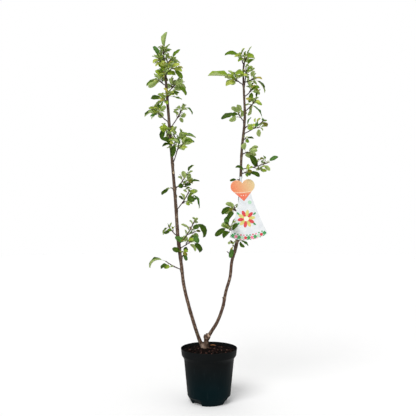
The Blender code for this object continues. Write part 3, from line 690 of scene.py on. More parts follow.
leftArm = (
    (-0.0265, 0.0275, 0.2370, 0.0084),
    (-0.0370, 0.0260, 0.2510, 0.0078),
    (-0.0500, 0.0230, 0.2850, 0.0073),
    (-0.0665, 0.0180, 0.3370, 0.0071),
    (-0.0870, 0.0130, 0.4080, 0.0069),
    (-0.1100, 0.0090, 0.5040, 0.0067),
    (-0.1203, 0.0060, 0.5900, 0.0067),
    (-0.1346, 0.0040, 0.7030, 0.0071),
    (-0.1446, 0.0020, 0.8480, 0.0070),
    (-0.1523, 0.0010, 0.9470, 0.0068),
    (-0.1645, 0.0000, 1.0930, 0.0064),
    (-0.1754, 0.0000, 1.2350, 0.0062),
    (-0.1832, 0.0000, 1.3350, 0.0058),
    (-0.1911, 0.0000, 1.4400, 0.0047),
    (-0.1972, 0.0000, 1.5080, 0.0027),
)
rightArm = (
    (-0.0050, 0.0280, 0.2740, 0.0085),
    (0.0090, 0.0270, 0.2965, 0.0073),
    (0.0370, 0.0235, 0.3430, 0.0067),
    (0.0610, 0.0190, 0.4090, 0.0064),
    (0.0741, 0.0150, 0.4770, 0.0061),
    (0.0920, 0.0110, 0.5400, 0.0061),
    (0.1006, 0.0080, 0.6120, 0.0061),
    (0.1206, 0.0050, 0.6880, 0.0070),
    (0.1300, 0.0030, 0.8000, 0.0064),
    (0.1382, 0.0010, 0.9820, 0.0058),
    (0.1426, 0.0000, 1.0930, 0.0056),
    (0.1539, 0.0000, 1.2040, 0.0056),
    (0.1561, 0.0000, 1.2620, 0.0054),
    (0.1518, 0.0000, 1.3510, 0.0046),
    (0.1496, 0.0000, 1.4350, 0.0041),
    (0.1540, 0.0000, 1.4780, 0.0034),
)
arms = {"left": leftArm, "right": rightArm}
stub = (
    (-0.0185, 0.0280, 0.2180, 0.0190),
    (-0.0180, 0.0280, 0.2300, 0.0182),
    (-0.0160, 0.0280, 0.2380, 0.0142),
    (-0.0125, 0.0280, 0.2470, 0.0110),
    (-0.0118, 0.0280, 0.2590, 0.0100),
    (-0.0100, 0.0280, 0.2670, 0.0116),
    (-0.0060, 0.0280, 0.2775, 0.0130),
    (-0.0035, 0.0280, 0.2865, 0.0096),
    (-0.0025, 0.0280, 0.2893, 0.0050),
)
sawnEnd = (
    (-0.0060, 0.0280, 0.2745, 0.0088),
    (-0.0150, 0.0265, 0.2765, 0.0090),
    (-0.0215, 0.0255, 0.2780, 0.0082),
)
crownLobe = (
    (-0.0160, 0.0280, 0.2340, 0.0110),
    (-0.0270, 0.0275, 0.2360, 0.0106),
    (-0.0350, 0.0265, 0.2450, 0.0090),
)

# The tag's places, as in the part's source

tag = {
    "card": 0.0008,
    "gap": 0.0003,
    "heartWidth": 0.106,
    "heartHeight": 0.094,
    "heartCentre": (0.1480, -0.0081, 0.9190),
    "heartTilt": 5.5,
    "skirtTop": (0.1560, 0.9150),
    "skirtFoot": (0.1730, 0.7230),
    "skirtTopWidth": 0.046,
    "skirtFootWidth": 0.166,
    "flare": 1.25,
    "hemDrop": 0.020,
    "flatTo": 0.26,
    "bulge": 0.010,
    "curl": 1.25,
    "strapHeight": 0.976,
    "strapRadius": 0.0071,
    "strapWidth": 0.006,
    "tongueWidth": 0.008,
    "tongueFoot": 0.930,
}

# Each spray: the height where it leaves its arm, its bearing (0 is +X, 90 is away from the
# front), its rise above level, the length of its spur, its leaves, the length of a grown blade,
# and its leading leaf: its way seen from the front, its length, its bend and its roll.
sprays = {
    "left": (
        (0.572, 186, 20, 0.074, 1, 0.062, (152, 0.070, 125, 10)),
        (0.648, 320, 10, 0.012, 4, 0.036, (300, 0.036, 50, 60)),
        (0.664, 8, 26, 0.062, 6, 0.044, (312, 0.052, 60, 60)),
        (0.683, 345, 42, 0.116, 10, 0.038, (326, 0.070, 80, 32)),
        (0.717, 190, 36, 0.054, 4, 0.032, (215, 0.036, 60, 20)),
        (0.830, 350, 48, 0.098, 7, 0.044, (326, 0.068, 70, 15)),
        (0.924, 12, 42, 0.084, 6, 0.038, (60, 0.038, 40, 60)),
        (0.932, 330, 8, 0.066, 7, 0.036, (20, 0.040, 40, 40)),
        (0.925, 200, 10, 0.010, 1, 0.034, (212, 0.040, 40, 75)),
        (1.030, 345, 68, 0.126, 16, 0.056, (8, 0.054, 40, 30)),
        (1.146, 300, 0, 0.008, 2, 0.032, (330, 0.034, 40, 60)),
        (1.124, 195, 62, 0.074, 9, 0.036, (252, 0.046, 30, 60)),
        (1.215, 170, 36, 0.076, 11, 0.044, (195, 0.046, 50, 50)),
        (1.188, 12, 50, 0.114, 9, 0.036, (345, 0.042, 80, 25)),
        (1.300, 215, 30, 0.018, 6, 0.044, (172, 0.046, 40, 75)),
        (1.315, 305, 40, 0.017, 5, 0.042, (20, 0.038, 40, 70)),
        (1.345, 25, 32, 0.052, 10, 0.046, (325, 0.050, 60, 60)),
        (1.375, 160, 30, 0.042, 10, 0.044, (195, 0.046, 50, 60)),
        (1.400, 262, 45, 0.024, 8, 0.044, (110, 0.046, 40, 70)),
        (1.425, 335, 30, 0.037, 9, 0.046, (250, 0.048, 50, 70)),
        (1.455, 30, 45, 0.047, 8, 0.042, (48, 0.046, 22, 72)),
        (1.450, 200, 50, 0.045, 9, 0.042, (105, 0.048, 40, 75)),
        (1.090, 300, 42, 0.046, 5, 0.052, (258, 0.052, 20, 72)),
    ),
    "right": (
        (0.632, 172, 24, 0.026, 0, 0.030, (180, 0.030, 40, 40)),
        (0.674, 215, 12, 0.010, 3, 0.040, (258, 0.042, 30, 65)),
        (0.700, 340, 0, 0.010, 2, 0.034, (335, 0.036, 50, 50)),
        (0.727, 182, 38, 0.046, 8, 0.059, (210, 0.060, 50, 70)),
        (0.812, 175, 50, 0.038, 6, 0.050, (203, 0.050, 50, 60)),
        (0.962, 195, 15, 0.007, 1, 0.028, (182, 0.028, 30, 60)),
        (0.992, 340, 8, 0.022, 4, 0.044, (350, 0.046, 40, 60)),
        (1.012, 10, 8, 0.116, 8, 0.038, (40, 0.044, 40, 60)),
        (1.075, 20, 24, 0.026, 4, 0.048, (308, 0.062, 40, 65)),
        (1.140, 350, 10, 0.008, 2, 0.028, (10, 0.030, 40, 50)),
        (1.165, 345, 24, 0.100, 8, 0.036, (104, 0.062, 55, 45)),
        (1.190, 20, 20, 0.012, 2, 0.036, (80, 0.036, 40, 60)),
        (1.216, 168, 46, 0.042, 5, 0.058, (188, 0.064, 30, 45)),
        (1.262, 8, 40, 0.068, 8, 0.042, (80, 0.042, 40, 60)),
        (1.327, 25, 35, 0.052, 7, 0.044, (260, 0.046, 40, 70)),
        (1.378, 185, 28, 0.052, 10, 0.050, (173, 0.090, 16, 42)),
        (1.388, 15, 20, 0.046, 5, 0.044, (308, 0.064, 68, 30)),
        (1.351, 335, 72, 0.104, 9, 0.036, (50, 0.038, 40, 60)),
        (1.462, 178, 74, 0.040, 5, 0.042, (160, 0.060, 52, 55)),
    ),
}
leaders = {
    "left": (92, 0.020, 10, 0.040, (84, 0.062, 12, 34)),
    "right": (62, 0.026, 8, 0.038, (112, 0.040, 30, 45)),
}
seeds = {"left": 4100, "right": 7300}
growth = {
    "armSides": 10,
    "trunkSides": 14,
    "twigSides": 5,
    "sideTwigSides": 4,
    "spurFoot": 0.0022,
    "spurTip": 0.0020,
    "sideTwig": 0.0015,
    "sideTwigTip": 0.0017,
    "spurSteps": 3,
    "spurUpturn": 12.0,
    "leavesForATwig": 6,
    "sideTwigsFrom": (0.46, 0.26),
    "sideTwigShare": 0.34,
    "sideTwigTurn": 48.0,
    "golden": 137.508,
    "innerTilt": 24.0,
    "outerTilt": 92.0,
    "innerSize": 0.62,
    "skyward": 0.25,
    "stalkShare": 0.34,
    "halfWidth": 0.32,
    "stalkRadius": 0.0008,
    "keel": 0.045,
    "bladeStations": ((0.0, 0.10), (0.30, 0.95), (0.68, 0.82)),
    "roll": (15.0, 85.0),
    "bend": (15.0, 75.0),
    "rootSink": 0.0012,
    "tries": 10,
    "touch": 0.0008,
}


def loft(rings, tip=None):
    # A closed solid through rings of equal size, each patch folded along its shorter diagonal.
    size = len(rings[0])
    points = [p for ring in rings for p in ring]
    faces = [(0, i + 1, i) for i in range(1, size - 1)]
    for k in range(len(rings) - 1):
        for i in range(size):
            a, b = k * size + i, k * size + (i + 1) % size
            if math.dist(points[a], points[b + size]) < math.dist(points[b], points[a + size]) + 1e-7:
                faces += [(a, b, b + size), (a, b + size, a + size)]
            else:
                faces += [(a, b, a + size), (b, b + size, a + size)]
    top = (len(rings) - 1) * size
    if tip is None:
        faces += [(top, top + i, top + i + 1) for i in range(1, size - 1)]
    else:
        points.append(tip)
        faces += [(top + i, top + (i + 1) % size, len(points) - 1) for i in range(size)]
    return points, faces


def roughTube(line, sides):
    along = np.gradient(line[:, :3], axis=0)
    along = np.array([unit(a) for a in along])
    side = across(along[0])
    rings = []
    for centre, ahead, radius in zip(line[:, :3], along, line[:, 3]):
        side = unit(side - ahead * (side @ ahead))
        other = np.cross(ahead, side)
        ring = []
        for k in range(sides):
            turn = 2 * math.pi * k / sides
            ring.append(centre + (side * math.cos(turn) + other * math.sin(turn)) * radius)
        rings.append(ring)
    return loft(rings)


def stationAt(line, height):
    return np.array([np.interp(height, line[:, 2], line[:, k]) for k in range(4)])


def heartOutline(count=9):
    # Two round lobes whose outer sides run down to a point, counter-clockwise from the tip.
    lobe = tag["heartWidth"] * 0.262
    gap = tag["heartWidth"] / 2 - lobe
    top = tag["heartHeight"] - lobe
    drop = math.hypot(gap, top)
    start = math.atan2(-top, -gap) + math.acos(lobe / drop)
    notch = math.pi - math.acos(min(1.0, gap / lobe))
    right = [(gap + lobe * math.cos(a), top + lobe * math.sin(a))
             for a in np.linspace(start, notch, count)]
    left = [(-x, z) for x, z in reversed(right[:-1])]
    return [(x, z - tag["heartHeight"] / 2) for x, z in [(0.0, 0.0), *right, *left]]


def heartPlace(x, z, y):
    tilt = math.radians(tag["heartTilt"])
    cx, _, cz = tag["heartCentre"]
    return (cx + x * math.cos(tilt) - z * math.sin(tilt), y,
            cz + x * math.sin(tilt) + z * math.cos(tilt))


def roughHeart():
    rings = [[heartPlace(x, z, tag["heartCentre"][1] + off) for x, z in heartOutline()]
             for off in (-tag["card"] / 2, tag["card"] / 2)]
    size = len(rings[0])
    ends = [tuple(range(size)), tuple(range(2 * size - 1, size - 1, -1))]
    return rings[0] + rings[1], ends + quadRows(2, size)


def skirtHalf(t):
    top, foot = tag["skirtTopWidth"], tag["skirtFootWidth"]
    return (top + (foot - top) * t ** tag["flare"]) / 2


def skirtPoint(u, t):
    # u runs from -1 to 1 across the card, and t from 0 at its top to 1 at its hem.
    top, foot = tag["skirtTop"], tag["skirtFoot"]
    half = skirtHalf(t)
    lean = (foot[0] - top[0]) / (top[1] - foot[1])
    hem = -tag["hemDrop"] * t * (1 - u * u) + lean * half * u
    swell = tag["bulge"] * max(0.0, t - tag["flatTo"]) / (1 - tag["flatTo"])
    depth = tag["heartCentre"][1] + tag["card"] + tag["gap"] - swell * (1 - tag["curl"] * u * u)
    return np.array((top[0] + (foot[0] - top[0]) * t + u * half, depth,
                     top[1] + (foot[1] - top[1]) * t + hem))


def skirtShell(acrossCount, downCount):
    # The card as a closed shell; its top and hem are closed by strips.
    half = np.array((0.0, tag["card"] / 2, 0.0))
    rings = []
    for t in np.linspace(0, 1, downCount + 1):
        row = [skirtPoint(u, t) for u in np.linspace(-1, 1, acrossCount + 1)]
        rings.append([p - half for p in row] + [p + half for p in reversed(row)])
    size = len(rings[0])
    points, faces = loft(rings)
    faces = faces[size - 2:-(size - 2)]
    for start in (0, (len(rings) - 1) * size):
        for k in range(acrossCount):
            faces.append((start + k, start + k + 1, start + size - 2 - k, start + size - 1 - k))
    return points, faces


def tongueShape():
    # The strap's tongue: an L, thin in front of the arm and deeper where it meets the band.
    x, y, z, _ = stationAt(smoothLine(rightArm, 2), tag["strapHeight"])
    front = tag["heartCentre"][1] + tag["card"] / 2 + tag["gap"]
    back = max(front + tag["card"], y - tag["strapRadius"])
    low, high = tag["tongueFoot"], z + tag["strapWidth"] / 2
    left, right = x - tag["tongueWidth"] / 2, x + tag["tongueWidth"] / 2
    shelf = high - tag["strapWidth"]
    outline = [(front, low), (front + tag["card"], low), (front + tag["card"], shelf),
               (back, shelf), (back, high), (front, high)]
    points = [(sideX, depth, up) for sideX in (left, right) for depth, up in outline]
    faces = quadRows(2, len(outline))
    faces += [(0, 1, 2, 5), (2, 3, 4, 5), (6, 7, 8, 11), (8, 9, 10, 11)]
    return points, faces


def spurLine(foot, direction, length, rng):
    # The woody spur, from the middle of its arm outwards, turning a little towards the sky.
    steps = growth["spurSteps"]
    points = [foot]
    heading = unit(direction)
    for _ in range(steps):
        level = unit(np.cross(heading, (0.0, 0.0, 1.0)) + np.array((1e-9, 0.0, 0.0)))
        heading = turned(heading, level, math.radians(growth["spurUpturn"]) / steps)
        heading = unit(heading + rng.normal(0, 0.05, 3))
        points.append(points[-1] + heading * length / steps)
    radii = np.linspace(growth["spurFoot"], growth["spurTip"], steps + 1)
    return np.column_stack((np.array(points), radii))


def headingOf(line):
    # The way in which a line ends.
    return unit(line[-1, :3] - line[-2, :3])


def backFrom(line, share):
    # A point before a line's end, by a share of its last step.
    return line[-1, :3] + (line[-2, :3] - line[-1, :3]) * share


def leaning(ahead, turn, tilt):
    # A way that leans from another by a tilt, to the side that a turn round it gives.
    return ahead * math.cos(tilt) + turned(across(ahead), ahead, turn) * math.sin(tilt)


def sideTwigLine(spur, share, number, length, rng):
    steps = growth["spurSteps"]
    at = share * steps
    low = min(int(at), steps - 1)
    foot = spur[low] + (spur[low + 1] - spur[low]) * (at - low)
    ahead = unit(spur[low + 1, :3] - spur[low, :3])
    turn = math.radians(growth["golden"]) * number + rng.uniform(0, 6.28)
    heading = unit(leaning(ahead, turn, math.radians(growth["sideTwigTurn"])) + np.array((0, 0, 0.25)))
    points = [foot[:3] + heading * length * k / 2 for k in range(3)]
    radii = np.linspace(growth["sideTwig"], growth["sideTwigTip"], 3)
    return np.column_stack((np.array(points), radii))


def leafFrames(leaf, lengths):
    # Points, directions, upward normals and sides at some lengths along a bending leaf.
    total = leaf["stalk"] + leaf["blade"]
    steps = 24
    point = leaf["root"].copy()
    track = [point.copy()]
    side = unit(np.cross(leaf["direction"], leaf["normal"]))
    for k in range(steps):
        share = (k + 0.5) / steps
        point = point + turned(leaf["direction"], side, -leaf["bend"] * share**1.4) * total / steps
        track.append(point.copy())
    along = total * np.arange(steps + 1) / steps
    track = np.array(track)
    frames = []
    for length in lengths:
        spot = np.array([np.interp(length, along, track[:, k]) for k in range(3)])
        heading = turned(leaf["direction"], side, -leaf["bend"] * (length / total) ** 1.4)
        frames.append((spot, heading, np.cross(side, heading), side))
    return frames


def roughLeaf(leaf, withStalk=True):
    # A three-sided stalk and a pointed blade with a keel below, as one closed solid.
    blade, stalk = leaf["blade"], leaf["stalk"]
    stations = growth["bladeStations"]
    frames = leafFrames(leaf, [0.0, *[stalk + blade * t for t, _ in stations], stalk + blade])
    rings = []
    for (spot, _, up, side), share in zip(frames, (0.0, *[w for _, w in stations])):
        half = max(growth["stalkRadius"], blade * leaf["width"] * share)
        keel = max(growth["stalkRadius"] * 1.5, blade * growth["keel"] * min(1.0, share * 1.2))
        rings.append([spot + side * half, spot - side * half, spot - up * keel])
    return loft(rings if withStalk else rings[1:], tip=frames[-1][0])


def leafOf(root, heading, blade, rng, lead=None):
    # The blade's normal starts towards the sky and rolls to the front or the back.
    direction = unit(heading)
    normal = np.array((0.0, 0.0, 1.0)) - direction * direction[2]
    if np.linalg.norm(normal) < 0.15:
        normal = np.array((0.0, -1.0, 0.0)) - direction * -direction[1]
    normal = unit(normal)
    roll = math.radians(rng.uniform(*growth["roll"]))
    bend = math.radians(rng.uniform(*growth["bend"]))
    if lead:
        bend, roll = math.radians(lead[2]), math.radians(lead[3])
    forward = turned(normal, direction, roll)
    backward = turned(normal, direction, -roll)
    if backward[1] < forward[1]:
        forward, backward = backward, forward
    seen = lead is not None or root[1] + 0.03 * direction[1] < rng.uniform(-0.02, 0.02)
    return {
        "root": root,
        "direction": direction,
        "normal": forward if seen else backward,
        "blade": blade,
        "stalk": blade * growth["stalkShare"] * rng.uniform(0.8, 1.2),
        "width": growth["halfWidth"] * rng.uniform(0.85, 1.12),
        "bend": bend,
        "lead": lead is not None,
    }


def treeOf(solid):
    points, faces = solid
    points = np.array(points)
    middle = (points.min(0) + points.max(0)) / 2
    reach = np.linalg.norm(points - middle, axis=1).max()
    bvh = BVHTree.FromPolygons([Vector(p) for p in points], faces, epsilon=growth["touch"])
    return middle, reach, bvh


def touches(tree, others):
    middle, reach, bvh = tree
    for otherMiddle, otherReach, other in others:
        if np.linalg.norm(middle - otherMiddle) > reach + otherReach + 2 * growth["touch"]:
            continue
        if bvh.overlap(other):
            return True
    return False


def growSpray(spur, leaves, blade, lead, rng, limbs, taken):
    # Twigs and leaves by one seeded rule; what would touch a limb or another spray is skipped.
    twigs = [(spur, growth["twigSides"])]
    reach = np.linalg.norm(spur[-1, :3] - spur[0, :3])
    first, step = growth["sideTwigsFrom"]
    for number in range(leaves // growth["leavesForATwig"]):
        for _ in range(growth["tries"]):
            share = min(0.9, first + step * number + rng.uniform(-0.05, 0.05))
            twig = sideTwigLine(spur, share, number, reach * growth["sideTwigShare"], rng)
            if not touches(treeOf(roughTube(twig, growth["sideTwigSides"])), limbs + taken):
                twigs.append((twig, growth["sideTwigSides"]))
                break
    wood = [treeOf(roughTube(line[1:], sides)) for line, sides in twigs]
    kept, blades, whole = [], [], []
    rounds = max(1, math.ceil(leaves / len(twigs)) - 1)
    inner, outer, least = growth["innerTilt"], growth["outerTilt"], growth["innerSize"]
    for number in range(leaves):
        line = twigs[number % len(twigs)][0]
        share = number // len(twigs) / rounds
        for attempt in range(growth["tries"]):
            root = backFrom(line, min(0.95, 0.04 + 0.75 * share * rng.uniform(0.6, 1.3)))
            turn = (math.radians(growth["golden"]) * (number + attempt * 0.37)
                    + rng.uniform(-0.4, 0.4))
            tilt = math.radians(inner + (outer - inner) * share) * rng.uniform(0.85, 1.15)
            heading = unit(leaning(headingOf(line), turn, tilt))
            heading = heading + np.array((0.0, 0.0, growth["skyward"]))
            size = blade * (least + (1.04 - least) * share) * rng.uniform(0.88, 1.12)
            if number == 0:
                way = math.radians(lead[0] + 12 * attempt * (-1) ** attempt)
                heading = np.array((math.cos(way), -0.12, math.sin(way)))
                size = lead[1]
            leaf = leafOf(root, heading, size, rng, lead if number == 0 else None)
            leaf["root"] = leaf["root"] - leaf["direction"] * growth["rootSink"]
            leaf["share"] = share
            solid = treeOf(roughLeaf(leaf))
            flat = treeOf(roughLeaf(leaf, withStalk=False))
            if not touches(solid, limbs + taken) and not touches(flat, blades + wood):
                kept.append(leaf)
                blades.append(flat)
                whole.append(solid)
                break
    return [line for line, _ in twigs], kept, wood + whole


def spraySpecs():
    # (name, arm, spur, leaves, blade, lead, rng) of each spray.
    specs = []
    for side, rows in sprays.items():
        line = smoothLine(arms[side], 2)
        for number, (height, bearing, rise, length, *rule) in enumerate(rows, 1):
            foot = stationAt(line, height)
            rng = np.random.default_rng(seeds[side] + number)
            spur = spurLine(foot[:3], wayOf(bearing, rise), length + foot[3], rng)
            specs.append((f"{side}_spray_{number:02d}", side, spur, *rule, rng))
        way, length, *rule = leaders[side]
        lean = math.radians(way)
        rng = np.random.default_rng(seeds[side])
        foot = line[-1, :3] - headingOf(line) * 0.002
        spur = spurLine(foot, np.array((math.cos(lean), 0.0, math.sin(lean))), length, rng)
        specs.append((f"{side}_leader", side, spur, *rule, rng))
    return specs


def fixedTrees():
    solids = [roughTube(smoothLine(stations, 2), growth["armSides"]) for stations in arms.values()]
    solids += [roughTube(np.array(limb), growth["trunkSides"]) for limb in (stub, sawnEnd, crownLobe)]
    solids += [roughHeart(), skirtShell(10, 6), tongueShape()]
    return [treeOf(solid) for solid in solids]


def growAll():
    limbs = fixedTrees()
    specs = spraySpecs()
    spurs = {spec[0]: treeOf(roughTube(spec[2], growth["twigSides"])) for spec in specs}
    taken = []
    grown = []
    for name, side, spur, *rule in specs:
        others = [tree for other, tree in spurs.items() if other != name]
        twigs, leaves, trees = growSpray(spur, *rule, limbs + others, taken)
        taken += trees
        grown.append({"name": name, "side": side, "twigs": twigs, "leaves": leaves,
                      "blade": rule[1]})
    return grown, limbs + taken


grown, takenTrees = growAll()
print("leaves as in the source:", sum(len(spray["leaves"]) for spray in grown))

# Finer growth: small twigs and young leaves within each spray's reach

finer = {
    "leafShare": 0.6,
    "topShare": 1.8,
    "topFrom": 1.19,
    "blade": (0.4, 0.8),
    "topWidth": 0.72,
    "twigletSpacing": 0.028,
    "twigletLength": (0.010, 0.022),
    "twigletRadius": (0.0011, 0.00088),
    "tilt": (18, 88),
    "tries": 7,
    "reach": 0.004,
}


def insideBox(points, box):
    low, high = box
    return (points > low).all() and (points < high).all()


def growFiner(spray):
    # More small leaves near the tips, and a few twiglets that carry their own.
    rng = np.random.default_rng(900 + grown.index(spray))
    low, high = (np.array(corner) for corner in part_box(spray["name"]))
    box = (np.maximum(low - finer["reach"], np.array(cadBox[0])),
           np.minimum(high + finer["reach"], np.array(cadBox[1])))
    if not spray["leaves"]:
        return [], []
    spur = spray["twigs"][0]
    twiglets = []
    for number in range(int(lengthsOf(spur)[-1] / finer["twigletSpacing"])):
        share = rng.uniform(0.35, 0.95)
        twiglet = sideTwigLine(spur, share, number, rng.uniform(*finer["twigletLength"]), rng)
        twiglet[:, 3] = np.linspace(*finer["twigletRadius"], 3)
        if insideBox(twiglet[:, :3], box) and not touches(treeOf(roughTube(twiglet[1:], 4)), takenTrees):
            twiglets.append(twiglet)
    lines = spray["twigs"] + twiglets
    top = spray["side"] == "left" and spur[0, 2] > finer["topFrom"]
    wanted = math.ceil(len(spray["leaves"]) * finer["topShare" if top else "leafShare"])
    extra = []
    for number in range(wanted + len(twiglets)):
        line = lines[-1 - number % len(lines)]
        for attempt in range(finer["tries"]):
            root = backFrom(line, rng.uniform(0.0, 0.8))
            turn = math.radians(growth["golden"]) * (number + attempt * 0.41) + rng.uniform(-1, 1)
            tilt = math.radians(rng.uniform(*finer["tilt"]))
            heading = unit(leaning(headingOf(line), turn, tilt)) + np.array((0, 0, 0.3))
            leaf = leafOf(root, heading, spray["blade"] * rng.uniform(*finer["blade"]), rng)
            leaf["share"] = 0.1
            leaf["width"] *= finer["topWidth"] if top else 1.0
            flat = treeOf(roughLeaf(leaf, withStalk=False))
            if insideBox(np.array(roughLeaf(leaf)[0]), box) and not touches(flat, takenTrees):
                extra.append(leaf)
                takenTrees.append(flat)
                break
    return twiglets, extra


for spray in grown:
    spray["twiglets"], spray["extra"] = growFiner(spray)
print("small leaves:", sum(len(spray["extra"]) for spray in grown),
      "twiglets:", sum(len(spray["twiglets"]) for spray in grown))


# Leaves

bladeLook = {
    "leadFold": 36.0,
    "leadWidth": 0.88,
    "rows": ((0.0, 0.09), (0.08, 0.52), (0.21, 0.86), (0.38, 1.0), (0.58, 0.99), (0.77, 0.81),
             (0.92, 0.45)),
    "across": (-1.0, -0.5, 0.0, 0.5, 1.0),
    "thick": 0.00038,
    "size": 0.92,
    "wave": 0.044,
    "waves": (1.3, 2.3),
    "quilt": 0.009,
    "twist": (-26, 26),
    "fold": (4, 34),
    "curl": (-0.25, 0.45),
    "youngFold": (26, 58),
    "youngCurl": (-0.1, 0.15),
}
ages = tuple(leafLook)
ageLook = {
    "byTwig": 0.55,
    "byHeight": 0.76,
    "chance": 0.3,
    "leadChance": 0.12,
    "leadShare": 1.68,
    "steps": (("leafYoung", 0.84), ("leafFresh", 0.56), ("leafGrown", 0.26), ("leafDeep", -9.0)),
    "warmShare": 0.3,
    "warm": {"leafYoung": "leafBuff", "leafGrown": "leafOlive", "leafDeep": "leafOlive"},
    "coldShare": 0.26,
    "cold": {"leafGrown": "leafBlue", "leafDeep": "leafBlue"},
}


def ageOf(leaf, rng):
    # Young leaves sit near the twigs' tips and towards the top of the plant.
    height = leaf["root"][2]
    share = ageLook["leadShare"] if leaf["lead"] else leaf["share"]
    chance = ageLook["leadChance"] if leaf["lead"] else ageLook["chance"]
    youth = ageLook["byTwig"] * (1 - share) + rng.normal(0, chance)
    youth += ageLook["byHeight"] * min(1.0, max(0.0, (height - 0.95) / 0.5))
    turn = rng.uniform()
    age = next(name for name, least in ageLook["steps"] if youth > least)
    if turn < ageLook["warmShare"] and leaf["blade"] < 0.034:
        return ageLook["warm"].get(age, age)
    return ageLook["cold"].get(age, age) if turn > 1 - ageLook["coldShare"] else age


def bladeMesh(leaf, age, rng):
    # A thin closed blade: its upper side, its under side and a sharp rim between them.
    look = bladeLook
    young = age in ("leafYoung", "leafBuff")
    blade, stalk = leaf["blade"], leaf["stalk"]
    rows, spread = look["rows"], look["across"]
    frames = leafFrames(leaf, [*[stalk + blade * t for t, _ in rows], stalk + blade])
    fold = math.radians(rng.uniform(*look["youngFold" if young else "fold"]))
    if leaf["lead"]:
        fold = max(fold, math.radians(look["leadFold"]))
    curl = rng.uniform(*look["youngCurl" if young else "curl"])
    twist = math.radians(rng.uniform(*look["twist"]))
    phase = rng.uniform(0, 2 * math.pi, 2)
    waves = rng.uniform(*look["waves"])
    points, maps = [], []
    for number, ((spot, ahead, up, side), (t, share)) in enumerate(zip(frames, rows)):
        up, side = turned(up, ahead, twist * t), turned(side, ahead, twist * t)
        half = blade * leaf["width"] * share * rng.uniform(0.96, 1.04)
        half *= look["leadWidth"] if leaf["lead"] else 1.0
        upper = []
        for u in spread:
            lift = half * abs(u) * math.sin(fold) - half * curl * u * u
            wave = math.sin(2 * math.pi * waves * t + phase[0 if u < 0 else 1])
            lift += blade * look["wave"] * wave * u * u * share
            if abs(u) == 0.5:
                lift += blade * look["quilt"] * (-1) ** number
            corner = spot + side * half * u * math.cos(fold) + up * lift
            upper.append(np.clip(corner, *cadBox))  # the blunt tips stay within the solids' box
        points += upper + [upper[k] - up * look["thick"] for k in (1, 2, 3)]
        maps += [(0.5 + 0.5 * u, t) for u in (*spread, *spread[1:4])]
    points.append(frames[-1][0])
    maps.append((0.5, 1.0))
    return points, maps, *bladeFaces(len(rows), ages.index(age))


def bladeFaces(rows, kind):
    # The blade's faces, their finishes and its sharp rim. A row has eight points: five above,
    # from edge to edge, and the three below that aren't its edges.
    faces, kinds, rim = [], [], []
    wide, tip = 8, rows * 8
    for row in range(rows):
        a, b, last = row * wide, (row + 1) * wide, row == rows - 1
        under = (a, a + 5, a + 6, a + 7, a + 4)
        for k in range(4):
            if last:
                faces += [(a + k, a + k + 1, tip), (under[k + 1], under[k], tip)]
            else:
                faces += [(a + k, a + k + 1, b + k + 1, b + k),
                          (under[k], under[k] + wide, under[k + 1] + wide, under[k + 1])]
            kinds += [kind, len(ages)]
        rim += [(a, tip if last else b), (a + 4, tip if last else b + 4)]
    faces.append((0, 5, 6, 7, 4, 3, 2, 1))
    return faces, [*kinds, len(ages)], rim


stalkLook = {  # places along the stalk and then along the blade, each with its radius
    "stalk": ((0.0, 0.0011), (0.12, 0.0008), (0.6, 0.00066), (1.0, 0.0007)),
    "midrib": ((0.25, 0.00058), (0.5, 0.00046), (0.72, 0.00034), (0.88, 0.0002)),
    "fullBlade": 0.045,
    "redShare": {"leafYoung": 0.15},
    "usualRed": 0.4,
}


def stalkMesh(leaf):
    # The stalk, which runs on below the blade as its midrib.
    blade, stalk = leaf["blade"], leaf["stalk"]
    plan = [(stalk * t, radius) for t, radius in stalkLook["stalk"]]
    plan += [(stalk + blade * t, radius) for t, radius in stalkLook["midrib"]]
    size = 0.75 + 0.25 * min(1.0, blade / stalkLook["fullBlade"])
    rows = []
    for (spot, _, up, _), (length, radius) in zip(leafFrames(leaf, [at for at, _ in plan]), plan):
        below = bladeLook["thick"] + radius * 0.4 if length >= stalk else 0.0
        rows.append((*(spot - up * below), radius * size))
    return sweep(np.array(rows), 4)


def makeLeaves(side):
    blades, stalks = Bundle(), Bundle()
    rng = np.random.default_rng(seeds[side] + 55)
    names = []
    for spray in grown:
        if spray["side"] != side:
            continue
        names.append(spray["name"])
        for leaf in spray["leaves"] + spray["extra"]:
            if not leaf["lead"]:
                leaf = {**leaf, "blade": leaf["blade"] * bladeLook["size"]}
            age = ageOf(leaf, rng)
            points, maps, faces, kinds, rim = bladeMesh(leaf, age, rng)
            blades.add(points, faces, kinds, maps, rim)
            red = rng.uniform() < stalkLook["redShare"].get(age, stalkLook["usualRed"])
            stalks.add(*stalkMesh(leaf), int(red))
    finishes = [*leafUpper.values(), leafUnder]
    addPiece(f"{side}_leaves", blades, finishes, names)
    addPiece(f"{side}_leaf_stalks", stalks, [stalkGreen, stalkRed], names)
    return names


sprayNames = {side: makeLeaves(side) for side in arms}
print("leaves made")

# Twigs, buds and fruitlets

twigPlan = {
    "spacing": 0.0017,
    "sides": 8,
    "uneven": 0.035,
    "scarRings": 4,
    "scarFrom": 0.12,
    "scarTo": 0.8,
    "scar": (0.00035, 0.0011),
    "cushion": (0.00055, 0.0022),
    "bud": (0.0034, 0.0011),
    "tipBud": (0.0051, 0.00165),
    "budSpacing": 0.017,
}
budPlan = ((0.0, 0.55), (0.22, 1.0), (0.5, 0.92), (0.8, 0.5), (1.0, 0.1))


def budMesh(foot, heading, length, radius):
    return sweep(np.array([(*(foot + heading * length * t), radius * r) for t, r in budPlan]), 6)


